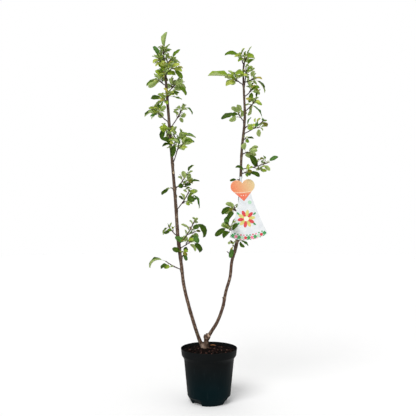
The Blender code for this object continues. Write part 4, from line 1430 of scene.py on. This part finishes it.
def twigMesh(line, rng, roots):
    # A twig with wrinkled growth scars near its foot and a cushion below each leaf.
    fine = evenLine(line, twigPlan["spacing"], 8)
    along = lengthsOf(fine)
    radius = fine[:, 3] * (1 + rng.normal(0, twigPlan["uneven"], len(fine)))
    for _ in range(twigPlan["scarRings"]):
        at = along[-1] * rng.uniform(twigPlan["scarFrom"], twigPlan["scarTo"])
        radius += hump(along - at, *twigPlan["scar"])
    for root in roots:
        radius += hump(np.linalg.norm(fine[:, :3] - root, axis=1), *twigPlan["cushion"])
    fine[:, 3] = radius
    return sweep(fine, twigPlan["sides"]), fine


def makeTwigs(side):
    wood, buds = Bundle(), Bundle()
    rng = np.random.default_rng(seeds[side] + 77)
    for spray in grown:
        if spray["side"] != side:
            continue
        roots = [leaf["root"] for leaf in spray["leaves"]]
        for twiglet in (False, True):
            for line in spray["twiglets" if twiglet else "twigs"]:
                shape, fine = twigMesh(line, rng, roots)
                wood.add(*shape)
                if not twiglet:
                    addBuds(buds, line, fine)
    addPiece(f"{side}_twigs", wood, [twigBark], sprayNames[side])
    addPiece(f"{side}_buds", buds, [budBrown], sprayNames[side])


def addBuds(buds, line, fine):
    # A large bud at the twig's tip and small ones along it.
    ahead = headingOf(line)
    buds.add(*budMesh(line[-1, :3] - ahead * 0.001, ahead, *twigPlan["tipBud"]))
    length = lengthsOf(fine)[-1]
    for count in range(int(length / twigPlan["budSpacing"])):
        k = int(len(fine) * (0.3 + 0.6 * count * twigPlan["budSpacing"] / length))
        k = min(k, len(fine) - 2)
        ahead = unit(fine[k + 1, :3] - fine[k, :3])
        spoke = turned(across(ahead), ahead, math.radians(growth["golden"]) * count)
        foot = fine[k, :3] + spoke * fine[k, 3] * 0.7
        buds.add(*budMesh(foot, unit(ahead * 0.8 + spoke * 0.6), *twigPlan["bud"]))


for side in arms:
    makeTwigs(side)

fruitlets = {
    "spray": "left_spray_04",
    "height": 0.7455,
    "places": ((0.004, -0.004, 0.006), (-0.005, -0.003, 0.008), (0.001, 0.006, 0.010),
               (0.009, 0.001, 0.003)),
    "spread": 1.3,
    "radius": 0.0044,
    "shape": ((-1.0, 0.12), (-0.9, 0.5), (-0.6, 0.84), (-0.2, 1.0), (0.25, 0.97), (0.65, 0.74),
              (0.9, 0.42), (0.97, 0.3)),
    "remains": 5,
}


def makeFruitlets():
    # Young fruits on short stalks, with the dry remains of the flower at their ends.
    spray = next(each for each in grown if each["name"] == fruitlets["spray"])
    line = evenLine(spray["twigs"][0], 0.002, 8)
    foot = line[np.argmin(abs(line[:, 2] - fruitlets["height"])), :3]
    bundle = Bundle()
    for number, offset in enumerate(fruitlets["places"]):
        middle = foot + np.array(offset) * fruitlets["spread"]
        heading = unit(middle - foot + np.array((0, 0, 0.004)))
        radius = fruitlets["radius"] * (1 - 0.09 * number)
        stalk = np.array([(*(foot + (middle - foot) * t), 0.0007) for t in (0, 0.3, 0.6, 0.9)])
        bundle.add(*sweep(stalk, 6), 1)
        body = np.array([(*(middle + heading * radius * 1.05 * t), radius * r)
                         for t, r in fruitlets["shape"]])
        bundle.add(*sweep(body, 14), 0)
        for turn in turns(fruitlets["remains"]):
            side = turned(across(heading), heading, turn)
            base = middle + heading * radius * 0.92 + side * radius * 0.18
            bundle.add(*budMesh(base, unit(heading + side * 0.7), 0.0026, 0.0005), 2)
    addPiece("fruitlets", bundle, [fruitSkin, stalkGreen, budBrown], [fruitlets["spray"]])


makeFruitlets()
print("twigs, buds and fruitlets made")

# Arms and trunk

limbLook = {
    "spacing": 0.0016,
    "sides": 36,
    "usual": 0.007,
    "swell": 0.0007,
    "swellFrom": 0.88,
    "swellTo": 0.68,
    "lumps": 0.00045,
    "ridges": 0.00042,
    "wrinkles": 0.00022,
    "knuckle": 0.0019,
    "knuckleReach": 0.0075,
    "creases": (-0.006, -0.0035, 0.004),
    "crease": (0.00028, 0.0008),
    "collar": (0.0007, 0.005),
    "collars": (0.16, 0.40, 0.63, 0.82, 0.98, 1.13, 1.22),
    "rings": (-0.004, 0.0, 0.004),
    "ring": (0.0003, 0.0009),
}
barkNodes = {
    "left": ("left_arm_lower", "left_arm_upper"),
    "right": ("right_arm_lower", "right_arm_upper"),
}
scars = (  # arm, height, bearing, radius across, radius along
    ("left", 0.9965, 285, 0.0040, 0.0062),
    ("left", 0.8935, 322, 0.0034, 0.0050),
    ("left", 0.7600, 250, 0.0030, 0.0042),
    ("left", 1.1000, 110, 0.0034, 0.0050),
    ("right", 0.5630, 262, 0.0030, 0.0046),
    ("right", 0.8700, 60, 0.0034, 0.0048),
)
bareStubs = (("left", 0.6240, 352, 42, 0.0135, 0.0031), ("right", 0.4400, 200, 50, 0.0075, 0.0026))


def noiseGrid(count, along, around, stretch, shift):
    # Noise over a limb's skin: a row for each station and a column for each side.
    ring = [polar(around, angle) for angle in turns(count)]
    return np.array([[noise.noise(Vector((x + shift, y, s * stretch))) for x, y in ring]
                     for s in along])


def armRelief(side, line, count, shift):
    look = limbLook
    along = lengthsOf(line)
    thick = (line[:, 3] / look["usual"])[:, None]
    relief = look["lumps"] * noiseGrid(count, along, 0.9, 48.0, shift) * thick
    stout = (look["swellFrom"] - line[:, 2]) / (look["swellFrom"] - look["swellTo"])
    relief += look["swell"] * np.clip(stout, 0, 1)[:, None]
    ridge = np.abs(noiseGrid(count, along, 3.4, 62.0, shift + 7))
    relief -= look["ridges"] * np.clip(1 - ridge * 4.5, 0, 1) * thick**2
    relief += look["wrinkles"] * noiseGrid(count, along, 0.7, 620.0, shift + 3) * thick
    spokes = spokesOf(line, count)
    feet = [(row[0], row[1], 1.0) for row in sprays[side]]
    feet += [(height, bearing, 0.8) for arm, height, bearing, *_ in scars if arm == side]
    feet += [(height, bearing, 0.9) for arm, height, bearing, *_ in bareStubs if arm == side]
    for height, bearing, size in feet:
        gaps = (along - np.interp(height, line[:, 2], along))[:, None]
        facing = np.clip(spokes @ wayOf(bearing), 0, 1) ** 2
        knuckle = hump(gaps, look["knuckle"] * size, look["knuckleReach"])
        relief += knuckle * (0.16 + 0.84 * facing) * thick
        for off in look["creases"]:
            relief -= hump(gaps - off, *look["crease"]) * (0.3 + 0.7 * facing)
    for at in look["collars"]:
        gaps = (along - at)[:, None]
        relief += hump(gaps, *look["collar"]) * thick
        for off in look["rings"]:
            relief -= hump(gaps - off, *look["ring"])
    return relief


def makeArm(side):
    line = evenLine(arms[side], limbLook["spacing"])
    relief = armRelief(side, line, limbLook["sides"], 20.0 if side == "left" else 60.0)
    bundle = Bundle()
    bundle.add(*sweep(line, limbLook["sides"], relief))
    addPiece(f"{side}_arm", bundle, [bark], barkNodes[side])


for side in arms:
    makeArm(side)

scarPlan = (  # each ring's share of the cut's size and its height over the bark
    (1.5, -0.0012), (1.28, 0.0001), (1.08, 0.0009), (0.9, 0.0008), (0.76, 0.0001), (0.4, -0.0001),
)
stubPlan = ((0.0, 1.5), (0.45, 1.35), (0.6, 1.05), (0.8, 0.95), (0.94, 1.1), (1.0, 0.9))


def scarMesh(bundle, centre, normal, upward, wide, tall, wood=1):
    # A healed cut: a callus rim that grows out of the bark round a dished face of old wood.
    side = unit(np.cross(upward, normal))
    upward = np.cross(normal, side)
    count = 22
    points = [centre - normal * 0.0014]
    for scale, height in scarPlan:
        for turn in turns(count):
            x, y = polar(scale * (1 + 0.07 * math.sin(3 * turn + wide * 9000)), turn)
            points.append(centre + side * wide * x + upward * tall * y + normal * height)
    points.append(centre - normal * 0.0002)
    bundle.add(points, polarFaces(len(scarPlan), count), [0] * 4 * count + [wood] * 3 * count)


def makeScars():
    bundle = Bundle()
    lines = {side: evenLine(arms[side], limbLook["spacing"]) for side in arms}
    for arm, height, bearing, wide, tall in scars:
        spot = stationAt(lines[arm], height)
        ahead = unit((stationAt(lines[arm], height + 0.01) - stationAt(lines[arm], height - 0.01))[:3])
        out = wayOf(bearing)
        out = unit(out - ahead * (out @ ahead))
        lift = limbLook["knuckle"] * 0.8 * spot[3] / limbLook["usual"]
        scarMesh(bundle, spot[:3] + out * (spot[3] + lift), out, ahead, wide, tall)
    for arm, height, bearing, rise, length, radius in bareStubs:
        spot = stationAt(lines[arm], height)
        out = wayOf(bearing, rise)
        reach = spot[3] + length
        rows = [(*(spot[:3] + out * reach * t), radius * r) for t, r in stubPlan]
        bundle.add(*sweep(evenLine(rows, 0.001), 14), 0)
        scarMesh(bundle, spot[:3] + out * reach, out, across(out), radius * 0.75, radius * 0.75)
    heading = headingOf(np.array(sawnEnd))
    face = np.array(sawnEnd[-1][:3]) + heading * 0.0004
    scarMesh(bundle, face, heading, np.array((0.0, 0.0, 1.0)), 0.0060, 0.0064, 2)
    addPiece("healed_cuts", bundle, [bark, cutWood, oldWood],
             ["trunk", *barkNodes["left"], *barkNodes["right"]])


trunkLook = {
    "spacing": 0.002,
    "sides": 28,
    "feet": {"left": 0.034, "right": 0.038},
    "stout": 1.04,
    "taper": 0.0016,
    "voxel": 0.0009,
    "smoothing": 7,
    "proud": 0.0006,
    "lumps": 0.0011,
    "cracks": 0.0010,
    "crumbs": 0.0003,
    "bed": 0.2245,
    "sunkShare": 0.15,
}


def makeTrunk():
    # The stub, its swollen head, the crown's lobe and the arms' feet grown into one.
    look = trunkLook
    bundle = Bundle()
    for limb in (stub, sawnEnd, crownLobe):
        bundle.add(*sweep(evenLine(limb, look["spacing"]), look["sides"]))
    for side, length in look["feet"].items():
        line = evenLine(arms[side], look["spacing"])
        foot = line[lengthsOf(line) <= length]
        foot[:, 3] *= look["stout"]
        foot[:, 3] -= look["taper"] * np.linspace(0, 1, len(foot)) ** 2
        bundle.add(*sweep(foot, look["sides"]))
    rough = newObject("trunkRough", np.vstack(bundle.points).tolist(), bundle.faces)
    remesh = rough.modifiers.new("oneSkin", "REMESH")
    remesh.mode = "VOXEL"
    remesh.voxel_size = look["voxel"]
    skin = evaluated(rough)
    work = bmesh.new()
    work.from_mesh(skin)
    bpy.data.meshes.remove(skin)
    for _ in range(look["smoothing"]):
        bmesh.ops.smooth_vert(work, verts=work.verts, factor=0.5, use_axis_x=True,
                              use_axis_y=True, use_axis_z=True)
    work.normal_update()
    moves = []
    for vert in work.verts:
        x, y, z = vert.co
        lumps = noise.noise(Vector((x * 130, y * 130, z * 110)))
        ridge = abs(noise.noise(Vector((x * 330, y * 330, z * 90)) + Vector((4, 9, 2))))
        crumbs = noise.noise(vert.co * 620)
        moves.append(look["proud"] + look["lumps"] * lumps
                     - look["cracks"] * max(0.0, 1 - ridge * 5) + look["crumbs"] * crumbs)
    for vert, move in zip(work.verts, moves):
        vert.co += vert.normal * move
        if vert.co.z < look["bed"]:
            vert.co.z = look["bed"] - (look["bed"] - vert.co.z) * look["sunkShare"]
    done = Bundle()
    done.add([tuple(vert.co) for vert in work.verts],
             [tuple(vert.index for vert in face.verts) for face in work.faces])
    work.free()
    addPiece("trunk_bark", done, [crownBark], ["trunk"])


makeScars()
makeTrunk()
print("arms and trunk made")

# Pot and compost

pot = {
    "height": 0.234,
    "rim": 0.1225,
    "band": 0.031,
    "bandTaper": 0.0035,
    "shoulder": 0.1092,
    "shoulderDrop": 0.045,
    "heel": 0.0938,
    "heelHeight": 0.031,
    "base": 0.0765,
    "flat": 0.055,
    "wall": 0.0020,
    "notchRise": 0.014,
    "notchCount": 3,
    "notchTurn": 45.0,
    "notchHalf": 15.0,
    "notchRamp": 7.5,
    "sides": 192,
    "slotReach": (0.0605, 0.0745),
    "slotBelow": 0.0135,
    "slotHalf": 7.0,
    "slotInset": 0.0025,
    "slotDepth": 0.0009,
}


def notchLift(angle):
    # How far the pot's heel is raised at an angle round the pot.
    spacing = 360.0 / pot["notchCount"]
    off = abs((math.degrees(angle) - pot["notchTurn"]) % spacing - spacing / 2)
    wide = pot["notchHalf"] + pot["notchRamp"]
    if off >= wide:
        return 0.0
    return pot["notchRise"] * min(1.0, (wide - off) / pot["notchRamp"])


def potProfile():
    # (radius, height, how much of the notch's lift it takes) from the underside up and inside.
    high, rim, wall = pot["height"], pot["rim"], pot["wall"]
    foot, shoulder = high - pot["band"], high - pot["shoulderDrop"]
    band = rim - pot["bandTaper"]
    heel, heelHigh, base = pot["heel"], pot["heelHeight"], pot["base"]
    rows = [(0.02, 0.0016, 0), (0.03, 0.0016, 0), (0.0312, 0.0004, 0), (0.034, 0.0, 0),
            (pot["flat"], 0.0, 0), (base - 0.0012, 0.0, 1), (base, 0.0004, 1)]
    for t in (0.15, 0.35, 0.6, 0.85):
        rows.append((base + (heel - base) * t, heelHigh * t, 1 - t))
    rows += [(heel - 0.0004, heelHigh - 0.0012, 0.03), (heel, heelHigh, 0)]
    wallStart, wallEnd = (heel, heelHigh), (pot["shoulder"], shoulder)
    for t in (0.015, 0.14, 0.3, 0.45, 0.6, 0.75, 0.88, 0.985):
        rows.append((wallStart[0] + (wallEnd[0] - wallStart[0]) * t,
                     wallStart[1] + (wallEnd[1] - wallStart[1]) * t, 0))
    rows += [(pot["shoulder"] + 0.0006, shoulder + 0.0003, 0),
             (band - 0.0012, foot - 0.0008, 0), (band - 0.0003, foot, 0), (band, foot + 0.0009, 0)]
    for t in (0.25, 0.5, 0.72):
        rows.append((band + (rim - band) * t, foot + pot["band"] * t, 0))
    rows += [(rim - 0.0007, high - 0.0052, 0), (rim, high - 0.0044, 0), (rim, high - 0.0012, 0),
             (rim - 0.0005, high - 0.0003, 0), (rim - wall / 2, high, 0),
             (rim - wall + 0.0003, high - 0.0004, 0), (rim - wall - 0.0002, high - 0.002, 0),
             (band - wall, foot + wall / 2, 0), (pot["shoulder"] - wall, shoulder + wall / 4, 0),
             (heel - wall, heelHigh + wall / 4, 0), (base - wall / 2, wall, 1),
             (pot["flat"], wall, 0)]
    return rows


def makePot():
    bundle = Bundle()
    bundle.add(*revolve(0.0016, potProfile(), pot["wall"] + 0.0002, pot["sides"],
                        lambda radius, angle: notchLift(angle)))
    piece = addPiece("nursery_pot", bundle, [potPlastic], ["pot"])
    # Drain slots: shallow pockets in the raised faces of the recesses.
    work = bmesh.new()
    work.from_mesh(piece.data)
    for number in range(pot["notchCount"]):
        middle = pot["notchTurn"] + 360 / pot["notchCount"] * (number + 0.5)
        chosen = []
        for face in work.faces:
            spot = face.calc_center_median()
            nearest, farthest = pot["slotReach"]
            if nearest < math.hypot(spot.x, spot.y) < farthest and face.normal.z < -0.4:
                off = (math.degrees(math.atan2(spot.y, spot.x)) - middle + 180) % 360 - 180
                if spot.z < pot["slotBelow"] and abs(off) < pot["slotHalf"]:
                    chosen.append(face)
        if chosen:
            bmesh.ops.inset_region(work, faces=chosen, thickness=pot["slotInset"],
                                   depth=-pot["slotDepth"])
    work.to_mesh(piece.data)
    work.free()


mound = {
    "edge": 0.2205,
    "top": 0.2290,
    "from": 0.062,
    "to": 0.118,
    "lumps": 0.0024,
    "crumbs": 0.0013,
    "sunk": 0.0016,
    "clear": 0.0003,
    "underside": 0.0024,
    "rim": ((0.1160, 0.2036), (0.1181, 0.2180)),
    "rings": (0.1179, 0.002, 60),
    "sides": 180,
}


def moundHeight(radius, angle):
    share = min(1.0, max(0.0, (radius - mound["from"]) / (mound["to"] - mound["from"])))
    level = mound["top"] - (mound["top"] - mound["edge"]) * share
    x, y = polar(radius, angle)
    lumps = noise.noise(Vector((x * 38, y * 38, 1.5))) * mound["lumps"]
    crumbs = noise.noise(Vector((x * 190, y * 190, 6.0))) * mound["crumbs"]
    return level + lumps + crumbs - mound["sunk"]


def makeCompost():
    # The bed fills the pot from the underside up; only its top takes the mound's lift.
    wall = pot["wall"] + mound["clear"]
    shoulder = pot["height"] - pot["shoulderDrop"]
    rows = [(pot["flat"], mound["underside"], 0),
            (pot["base"] - wall, pot["notchRise"] + 0.0027, 0),
            (pot["heel"] - wall, pot["heelHeight"] + 0.001, 0),
            (pot["shoulder"] - wall, shoulder + 0.0004, 0)]
    rows += [(radius, height, 0) for radius, height in mound["rim"]]
    rows += [(radius, 0.0, 1) for radius in np.linspace(*mound["rings"])]
    bundle = Bundle()
    bundle.add(*revolve(mound["underside"], rows, moundHeight(0.0, 0.0), mound["sides"], moundHeight))
    addPiece("compost_bed", bundle, [compostBed], ["compost"])


tanChip = {"place": (0.0160, 0.0840), "length": 0.023, "turn": 8.0, "lift": 0.0022, "seed": 66}


def chipShape(name, seed, sides=6):
    # One splinter of bark: a bent, uneven slab.
    rng = np.random.default_rng(seed)
    points = []
    for level in (-0.5, 0.5):
        for turn in turns(sides):
            reach = rng.uniform(0.75, 1.15)
            x, y = 0.5 * reach * math.cos(turn), 0.24 * reach * math.sin(turn)
            points.append((x, y, level * 0.16 * rng.uniform(0.7, 1.2) + 0.12 * x * x))
    points += [(0.02, 0.0, -0.09), (-0.03, 0.02, 0.13)]
    faces = quadRows(2, sides)
    for k in range(sides):
        faces.append((2 * sides, (k + 1) % sides, k))
        faces.append((2 * sides + 1, k + sides, (k + 1) % sides + sides))
    return newObject(name, points, faces)


def scatterTree():
    # Spreads a chip over a surface: named inputs for how many, how large and how tilted.
    tree = bpy.data.node_groups.new("scatterChips", "GeometryNodeTree")
    sockets = {}
    for label, kind, value in (
        ("Geometry", "NodeSocketGeometry", None), ("Chip", "NodeSocketObject", None),
        ("Gap", "NodeSocketFloat", 0.006), ("Density", "NodeSocketFloat", 20000.0),
        ("Small", "NodeSocketFloat", 0.006), ("Large", "NodeSocketFloat", 0.016),
        ("Tilt", "NodeSocketFloat", 0.5), ("Seed", "NodeSocketInt", 1),
        ("Finish", "NodeSocketMaterial", None),
    ):
        socket = tree.interface.new_socket(label, in_out="INPUT", socket_type=kind)
        if value is not None:
            socket.default_value = value
        sockets[label] = socket.identifier
    tree.interface.new_socket("Geometry", in_out="OUTPUT", socket_type="NodeSocketGeometry")
    ins = tree.nodes.new("NodeGroupInput").outputs
    spread = put(tree, "GeometryNodeDistributePointsOnFaces",
                 {"Mesh": ins["Geometry"], "Distance Min": ins["Gap"],
                  "Density Max": ins["Density"], "Seed": ins["Seed"]},
                 distribute_method="POISSON")
    source = put(tree, "GeometryNodeObjectInfo", {"Object": ins["Chip"]})
    least, most = (put(tree, "ShaderNodeCombineXYZ", {"X": tilt, "Y": tilt, "Z": turn}).outputs[0]
                   for tilt, turn in ((times(tree, ins["Tilt"], -1.0), -math.pi),
                                      (ins["Tilt"], math.pi)))
    turn = put(tree, "FunctionNodeRandomValue", {0: least, 1: most, "Seed": ins["Seed"]},
               data_type="FLOAT_VECTOR")
    size = put(tree, "FunctionNodeRandomValue",
               {2: ins["Small"], 3: ins["Large"], "Seed": math2(tree, "ADD", ins["Seed"], 7.0)},
               data_type="FLOAT")
    copies = put(tree, "GeometryNodeInstanceOnPoints",
                 {"Points": spread.outputs["Points"], "Instance": source.outputs["Geometry"],
                  "Rotation": turn.outputs[0], "Scale": size.outputs[1]})
    real = put(tree, "GeometryNodeRealizeInstances", {"Geometry": copies.outputs[0]})
    painted = put(tree, "GeometryNodeSetMaterial",
                  {"Geometry": real.outputs[0], "Material": ins["Finish"]})
    out = tree.nodes.new("NodeGroupOutput")
    tree.links.new(painted.outputs[0], out.inputs[0])
    return tree, sockets


def addTanChip(bundle):
    # One large flake lies flat behind the stub.
    x, y = tanChip["place"]
    height = moundHeight(math.hypot(x, y), math.atan2(y, x)) + tanChip["lift"]
    shape = chipShape("flake", tanChip["seed"])
    turn = math.radians(tanChip["turn"])
    points = []
    for vertex in shape.data.vertices:
        a, b, c = (tanChip["length"] * value for value in vertex.co)
        points.append((x + a * math.cos(turn) - b * math.sin(turn),
                       y + a * math.sin(turn) + b * math.cos(turn), height + c))
    bundle.add(points, [tuple(face.vertices) for face in shape.data.polygons], 1)
    dropObject(shape)


chipKinds = (  # name, gap, density, small, large, tilt, seed
    ("chipsDark", 0.0042, 26000.0, 0.004, 0.014, 0.6, 11),
    ("chipsBrown", 0.0105, 6000.0, 0.006, 0.017, 0.5, 23),
    ("chipsRed", 0.0160, 2400.0, 0.006, 0.015, 0.45, 37),
    ("chipsPale", 0.0290, 520.0, 0.005, 0.012, 0.35, 41),
)
chipBed = {"sides": 72, "rows": 26, "inner": 0.004, "outer": 0.1085, "lift": 0.0004}


def makeChips():
    tree, sockets = scatterTree()
    count, rows = chipBed["sides"], chipBed["rows"]
    points = [(0.0, 0.0, moundHeight(0.0, 0.0))]
    for radius in np.linspace(chipBed["inner"], chipBed["outer"], rows):
        points += [(*polar(radius, a), moundHeight(radius, a) + chipBed["lift"])
                   for a in turns(count)]
    faces = [(0, 1 + k, 1 + (k + 1) % count) for k in range(count)]
    faces += [(a, d, c, b) for a, b, c, d in quadRows(rows, count, 1)]
    for number, (name, gap, density, small, large, tilt, seed) in enumerate(chipKinds):
        chip = chipShape("chipSource", 60 + number)
        bed = newObject("bed", points, faces)
        modifier = bed.modifiers.new("scatter", "NODES")
        modifier.node_group = tree
        for label, value in (("Chip", chip), ("Gap", gap), ("Density", density),
                             ("Small", small), ("Large", large), ("Tilt", tilt), ("Seed", seed),
                             ("Finish", chipFinish[name])):
            modifier[sockets[label]] = value
        made = evaluated(bed)
        dropObject(chip)
        bundle = Bundle()
        bundle.add([tuple(v.co) for v in made.vertices], [tuple(p.vertices) for p in made.polygons])
        bpy.data.meshes.remove(made)
        finishes = [chipFinish[name]]
        if name == "chipsPale":
            finishes.append(chipFinish["chipsTan"])
            addTanChip(bundle)
        addPiece("compost_" + name.replace("chips", "chips_").lower(), bundle, finishes,
                 ["compost"], smooth=False)
        print(name, len(bundle.faces), "faces")


makePot()
makeCompost()
makeChips()
print("pot and compost made")

# The tag: a heart, a flared card and a strap, with a print of the maker's own

tagLook = {
    "lineReach": 0.0405,
    "lineSag": 0.0035,
    "lineHalf": 0.0008,
    "trimDepth": 0.00014,
    "dots": (-0.010, 0.0, 0.010),
    "dotHeight": -0.0215,
    "dotRadius": 0.0021,
    "inkDepth": 0.00016,
    "rosette": (0.162, 0.796),
    "petals": 10,
    "petalReach": 0.0240,
    "petalTurn": 9,
    "petal": (0.0150, 0.0076),
    "eye": 0.0112,
    "leaves": (38, 142, 218, 322),
    "leafReach": (0.045, 0.036),
    "leaf": (0.0085, 0.0042),
    "spot": (0.1770, 0.8672, 0.0085),
    "hemShare": 0.948,
    "hemItems": 11,
    "hemReach": 0.87,
    "hemDiamond": 0.0102,
    "hemRound": 0.0068,
    "hemDots": ((0.896, 0.0036), (0.984, 0.0028)),
}


def makeHeart():
    bundle = Bundle()
    cy, card = tag["heartCentre"][1], tag["card"]
    outline = np.array(heartOutline(40))
    inner = outline * (1 - 0.0006 / (tag["heartWidth"] / 2))
    rings = ((inner, -card / 2), (outline, -card / 2 + 0.0002), (outline, card / 2 - 0.0002),
             (inner, card / 2))
    points = [heartPlace(x, z, cy + off) for shape, off in rings for x, z in shape]
    size = len(outline)
    ends = [tuple(range(size)), tuple(range(4 * size - 1, 3 * size - 1, -1))]
    bundle.add(points, ends + quadRows(4, size), [0] * 2 + [1] * 3 * size)
    addPiece("heart_tag", bundle, [tagOrange, tagEdge], ["tag_heart"], smooth=False)


def makeHeartTrim():
    # A thin pale line across the heart, and three dots below it.
    look = tagLook
    trim = Bundle()
    front = tag["heartCentre"][1] - tag["card"] / 2
    low = heartLook["lineHeight"] - tag["heartCentre"][2]
    half, deep = look["lineHalf"], look["trimDepth"]
    rows = []
    for x in np.linspace(-look["lineReach"], look["lineReach"], 25):
        z = low - look["lineSag"] * (1 - (x / look["lineReach"]) ** 2) + 0.001
        rows.append([heartPlace(x, z + up, front - out)
                     for up, out in ((half, 0.0), (half, deep), (-half, deep), (-half, 0.0))])
    trim.add(*loft(rows))
    for x in look["dots"]:
        z = look["dotHeight"]
        dot = [heartPlace(x, z, front + 0.0001)]
        for off in (0.0, deep):
            dot += [heartPlace(x + a, z + b, front - off)
                    for a, b in (polar(look["dotRadius"], turn) for turn in turns(12))]
        dot.append(heartPlace(x, z, front - deep - 0.00002))
        trim.add(dot, polarFaces(2, 12))
    addPiece("heart_trim", trim, [ink["inkCream"]], ["tag_heart"], smooth=False)


def cardPlace(x, z, lift):
    # The point of the card's front that shows at x and z, lifted from it.
    top, foot = tag["skirtTop"], tag["skirtFoot"]
    t = (top[1] - z) / (top[1] - foot[1])
    for _ in range(6):
        u = (x - top[0] - (foot[0] - top[0]) * t) / skirtHalf(max(0.0, t))
        t += (skirtPoint(u, t)[2] - z) / (top[1] - foot[1])
    return skirtPoint(u, t) - np.array((0.0, tag["card"] / 2 + lift, 0.0))


def inkPatch(bundle, outline, name):
    # A thin printed patch that follows the card, from its outline in x and z.
    outline = np.array(outline)
    middle = outline.mean(0)
    deep = tagLook["inkDepth"]
    rings = ((1.0, 0.0), (0.97, deep), (0.65, deep), (0.33, deep))
    points = [cardPlace(*middle, -0.0001)]
    for scale, lift in rings:
        points += [cardPlace(*(middle + (p - middle) * scale), lift) for p in outline]
    points.append(cardPlace(*middle, deep))
    bundle.add(points, polarFaces(len(rings), len(outline)), list(ink).index(name))


def ovalAt(x, z, long, wide, lean=0, count=14, point=0.0):
    # An oval, or a pointed leaf where point is above 0, leaning by an angle in degrees.
    turn = math.radians(lean)
    shape = []
    for a in turns(count):
        along = long * math.cos(a)
        off = wide * math.sin(a) * (1 - point * abs(math.cos(a)) ** 3)
        shape.append((x + along * math.cos(turn) - off * math.sin(turn),
                      z + along * math.sin(turn) + off * math.cos(turn)))
    return shape


def makeCard():
    look = tagLook
    bundle = Bundle()
    bundle.add(*skirtShell(44, 34))
    addPiece("flared_card", bundle, [tagWhite], ["tag_skirt"], smooth=False)
    prints = Bundle()
    cx, cz = look["rosette"]
    for k in range(look["petals"]):
        lean = 360 / look["petals"] * k + look["petalTurn"]
        x, z = polar(look["petalReach"], math.radians(lean))
        inkPatch(prints, ovalAt(cx + x, cz + z, *look["petal"], lean),
                 "inkRed" if k % 2 else "inkYellow")
    inkPatch(prints, ovalAt(cx, cz, look["eye"], look["eye"], 0, 24), "inkCream")
    wide, tall = look["leafReach"]
    for lean in look["leaves"]:
        x, z = polar(1.0, math.radians(lean))
        inkPatch(prints, ovalAt(cx + wide * x, cz + tall * z, *look["leaf"], lean, 14, 0.7),
                 "inkGreen")
    x, z, radius = look["spot"]
    inkPatch(prints, ovalAt(x, z, radius, radius, 0, 18), "inkMint")
    gap = 2 * look["hemReach"] / (look["hemItems"] - 1)
    for k in range(look["hemItems"]):
        u = gap * k - look["hemReach"]
        x, _, z = skirtPoint(u, look["hemShare"])
        name = ("inkGreen", "inkPink", "inkGreen", "inkMint", "inkRed")[k % 5]
        green = name == "inkGreen"
        count, long = (4, look["hemDiamond"]) if green else (14, look["hemRound"])
        inkPatch(prints, ovalAt(x, z, long, long, 0, count), name)
        for t, size in look["hemDots"] if k else ():
            x, _, z = skirtPoint(u - gap / 2, t)
            name = ("inkPink", "inkGreen", "inkGreen", "inkRed")[k % 4]
            inkPatch(prints, ovalAt(x, z, size, size, 0, 10), name)
    addPiece("card_print", prints, list(ink.values()), ["tag_skirt"], smooth=False)


def makeStrap():
    x, y, z, _ = stationAt(smoothLine(rightArm, 2), tag["strapHeight"])
    steps = 48
    inner, outer = tag["strapRadius"], tag["strapRadius"] + tag["card"]
    half = tag["strapWidth"] / 2
    section = ((inner, -half + 0.0003), (inner + 0.0002, -half), (outer - 0.0003, -half),
               (outer, -half + 0.0004), (outer, half - 0.0004), (outer - 0.0003, half),
               (inner + 0.0002, half), (inner, half - 0.0003))
    points = []
    for radius, off in section:
        points += [(x + a, y + b, z + off) for a, b in (polar(radius, turn) for turn in turns(steps))]
    last = (len(section) - 1) * steps
    faces = quadRows(len(section), steps)
    faces += [(last + k, last + (k + 1) % steps, (k + 1) % steps, k) for k in range(steps)]
    bundle = Bundle()
    bundle.add(points, faces)
    bundle.add(*tongueShape())
    addPiece("tag_loop", bundle, [strapClear], ["tag_strap"], smooth=False)


makeHeart()
makeHeartTrim()
makeCard()
makeStrap()
print("tag made")

# Floor


def makeFloor():
    made, tree, place = startFinish("paleFloor", Specular_IOR_Level=0.1, Roughness=0.9,
                                    Emission_Color=(1, 1, 1, 1), Emission_Strength=0.06)
    cloud = use(tree, mottle, place, Scale=1.5, Detail=2.0, Low=0.3, High=0.7)
    colour = layers(tree, (0.94, 0.94, 0.94, 1), (cloud, (0.95, 0.95, 0.95, 1), 1))
    tree.links.new(colour, tree.nodes["Principled BSDF"].inputs["Base Color"])
    count = 96
    ring = [(*polar(studio["floorRadius"], turn), 0.0) for turn in turns(count)]
    floor = newObject("studio_floor", [(0, 0, 0)] + ring,
                      [(0, 1 + k, 1 + (k + 1) % count) for k in range(count)])
    floor.data.materials.append(made)


makeFloor()
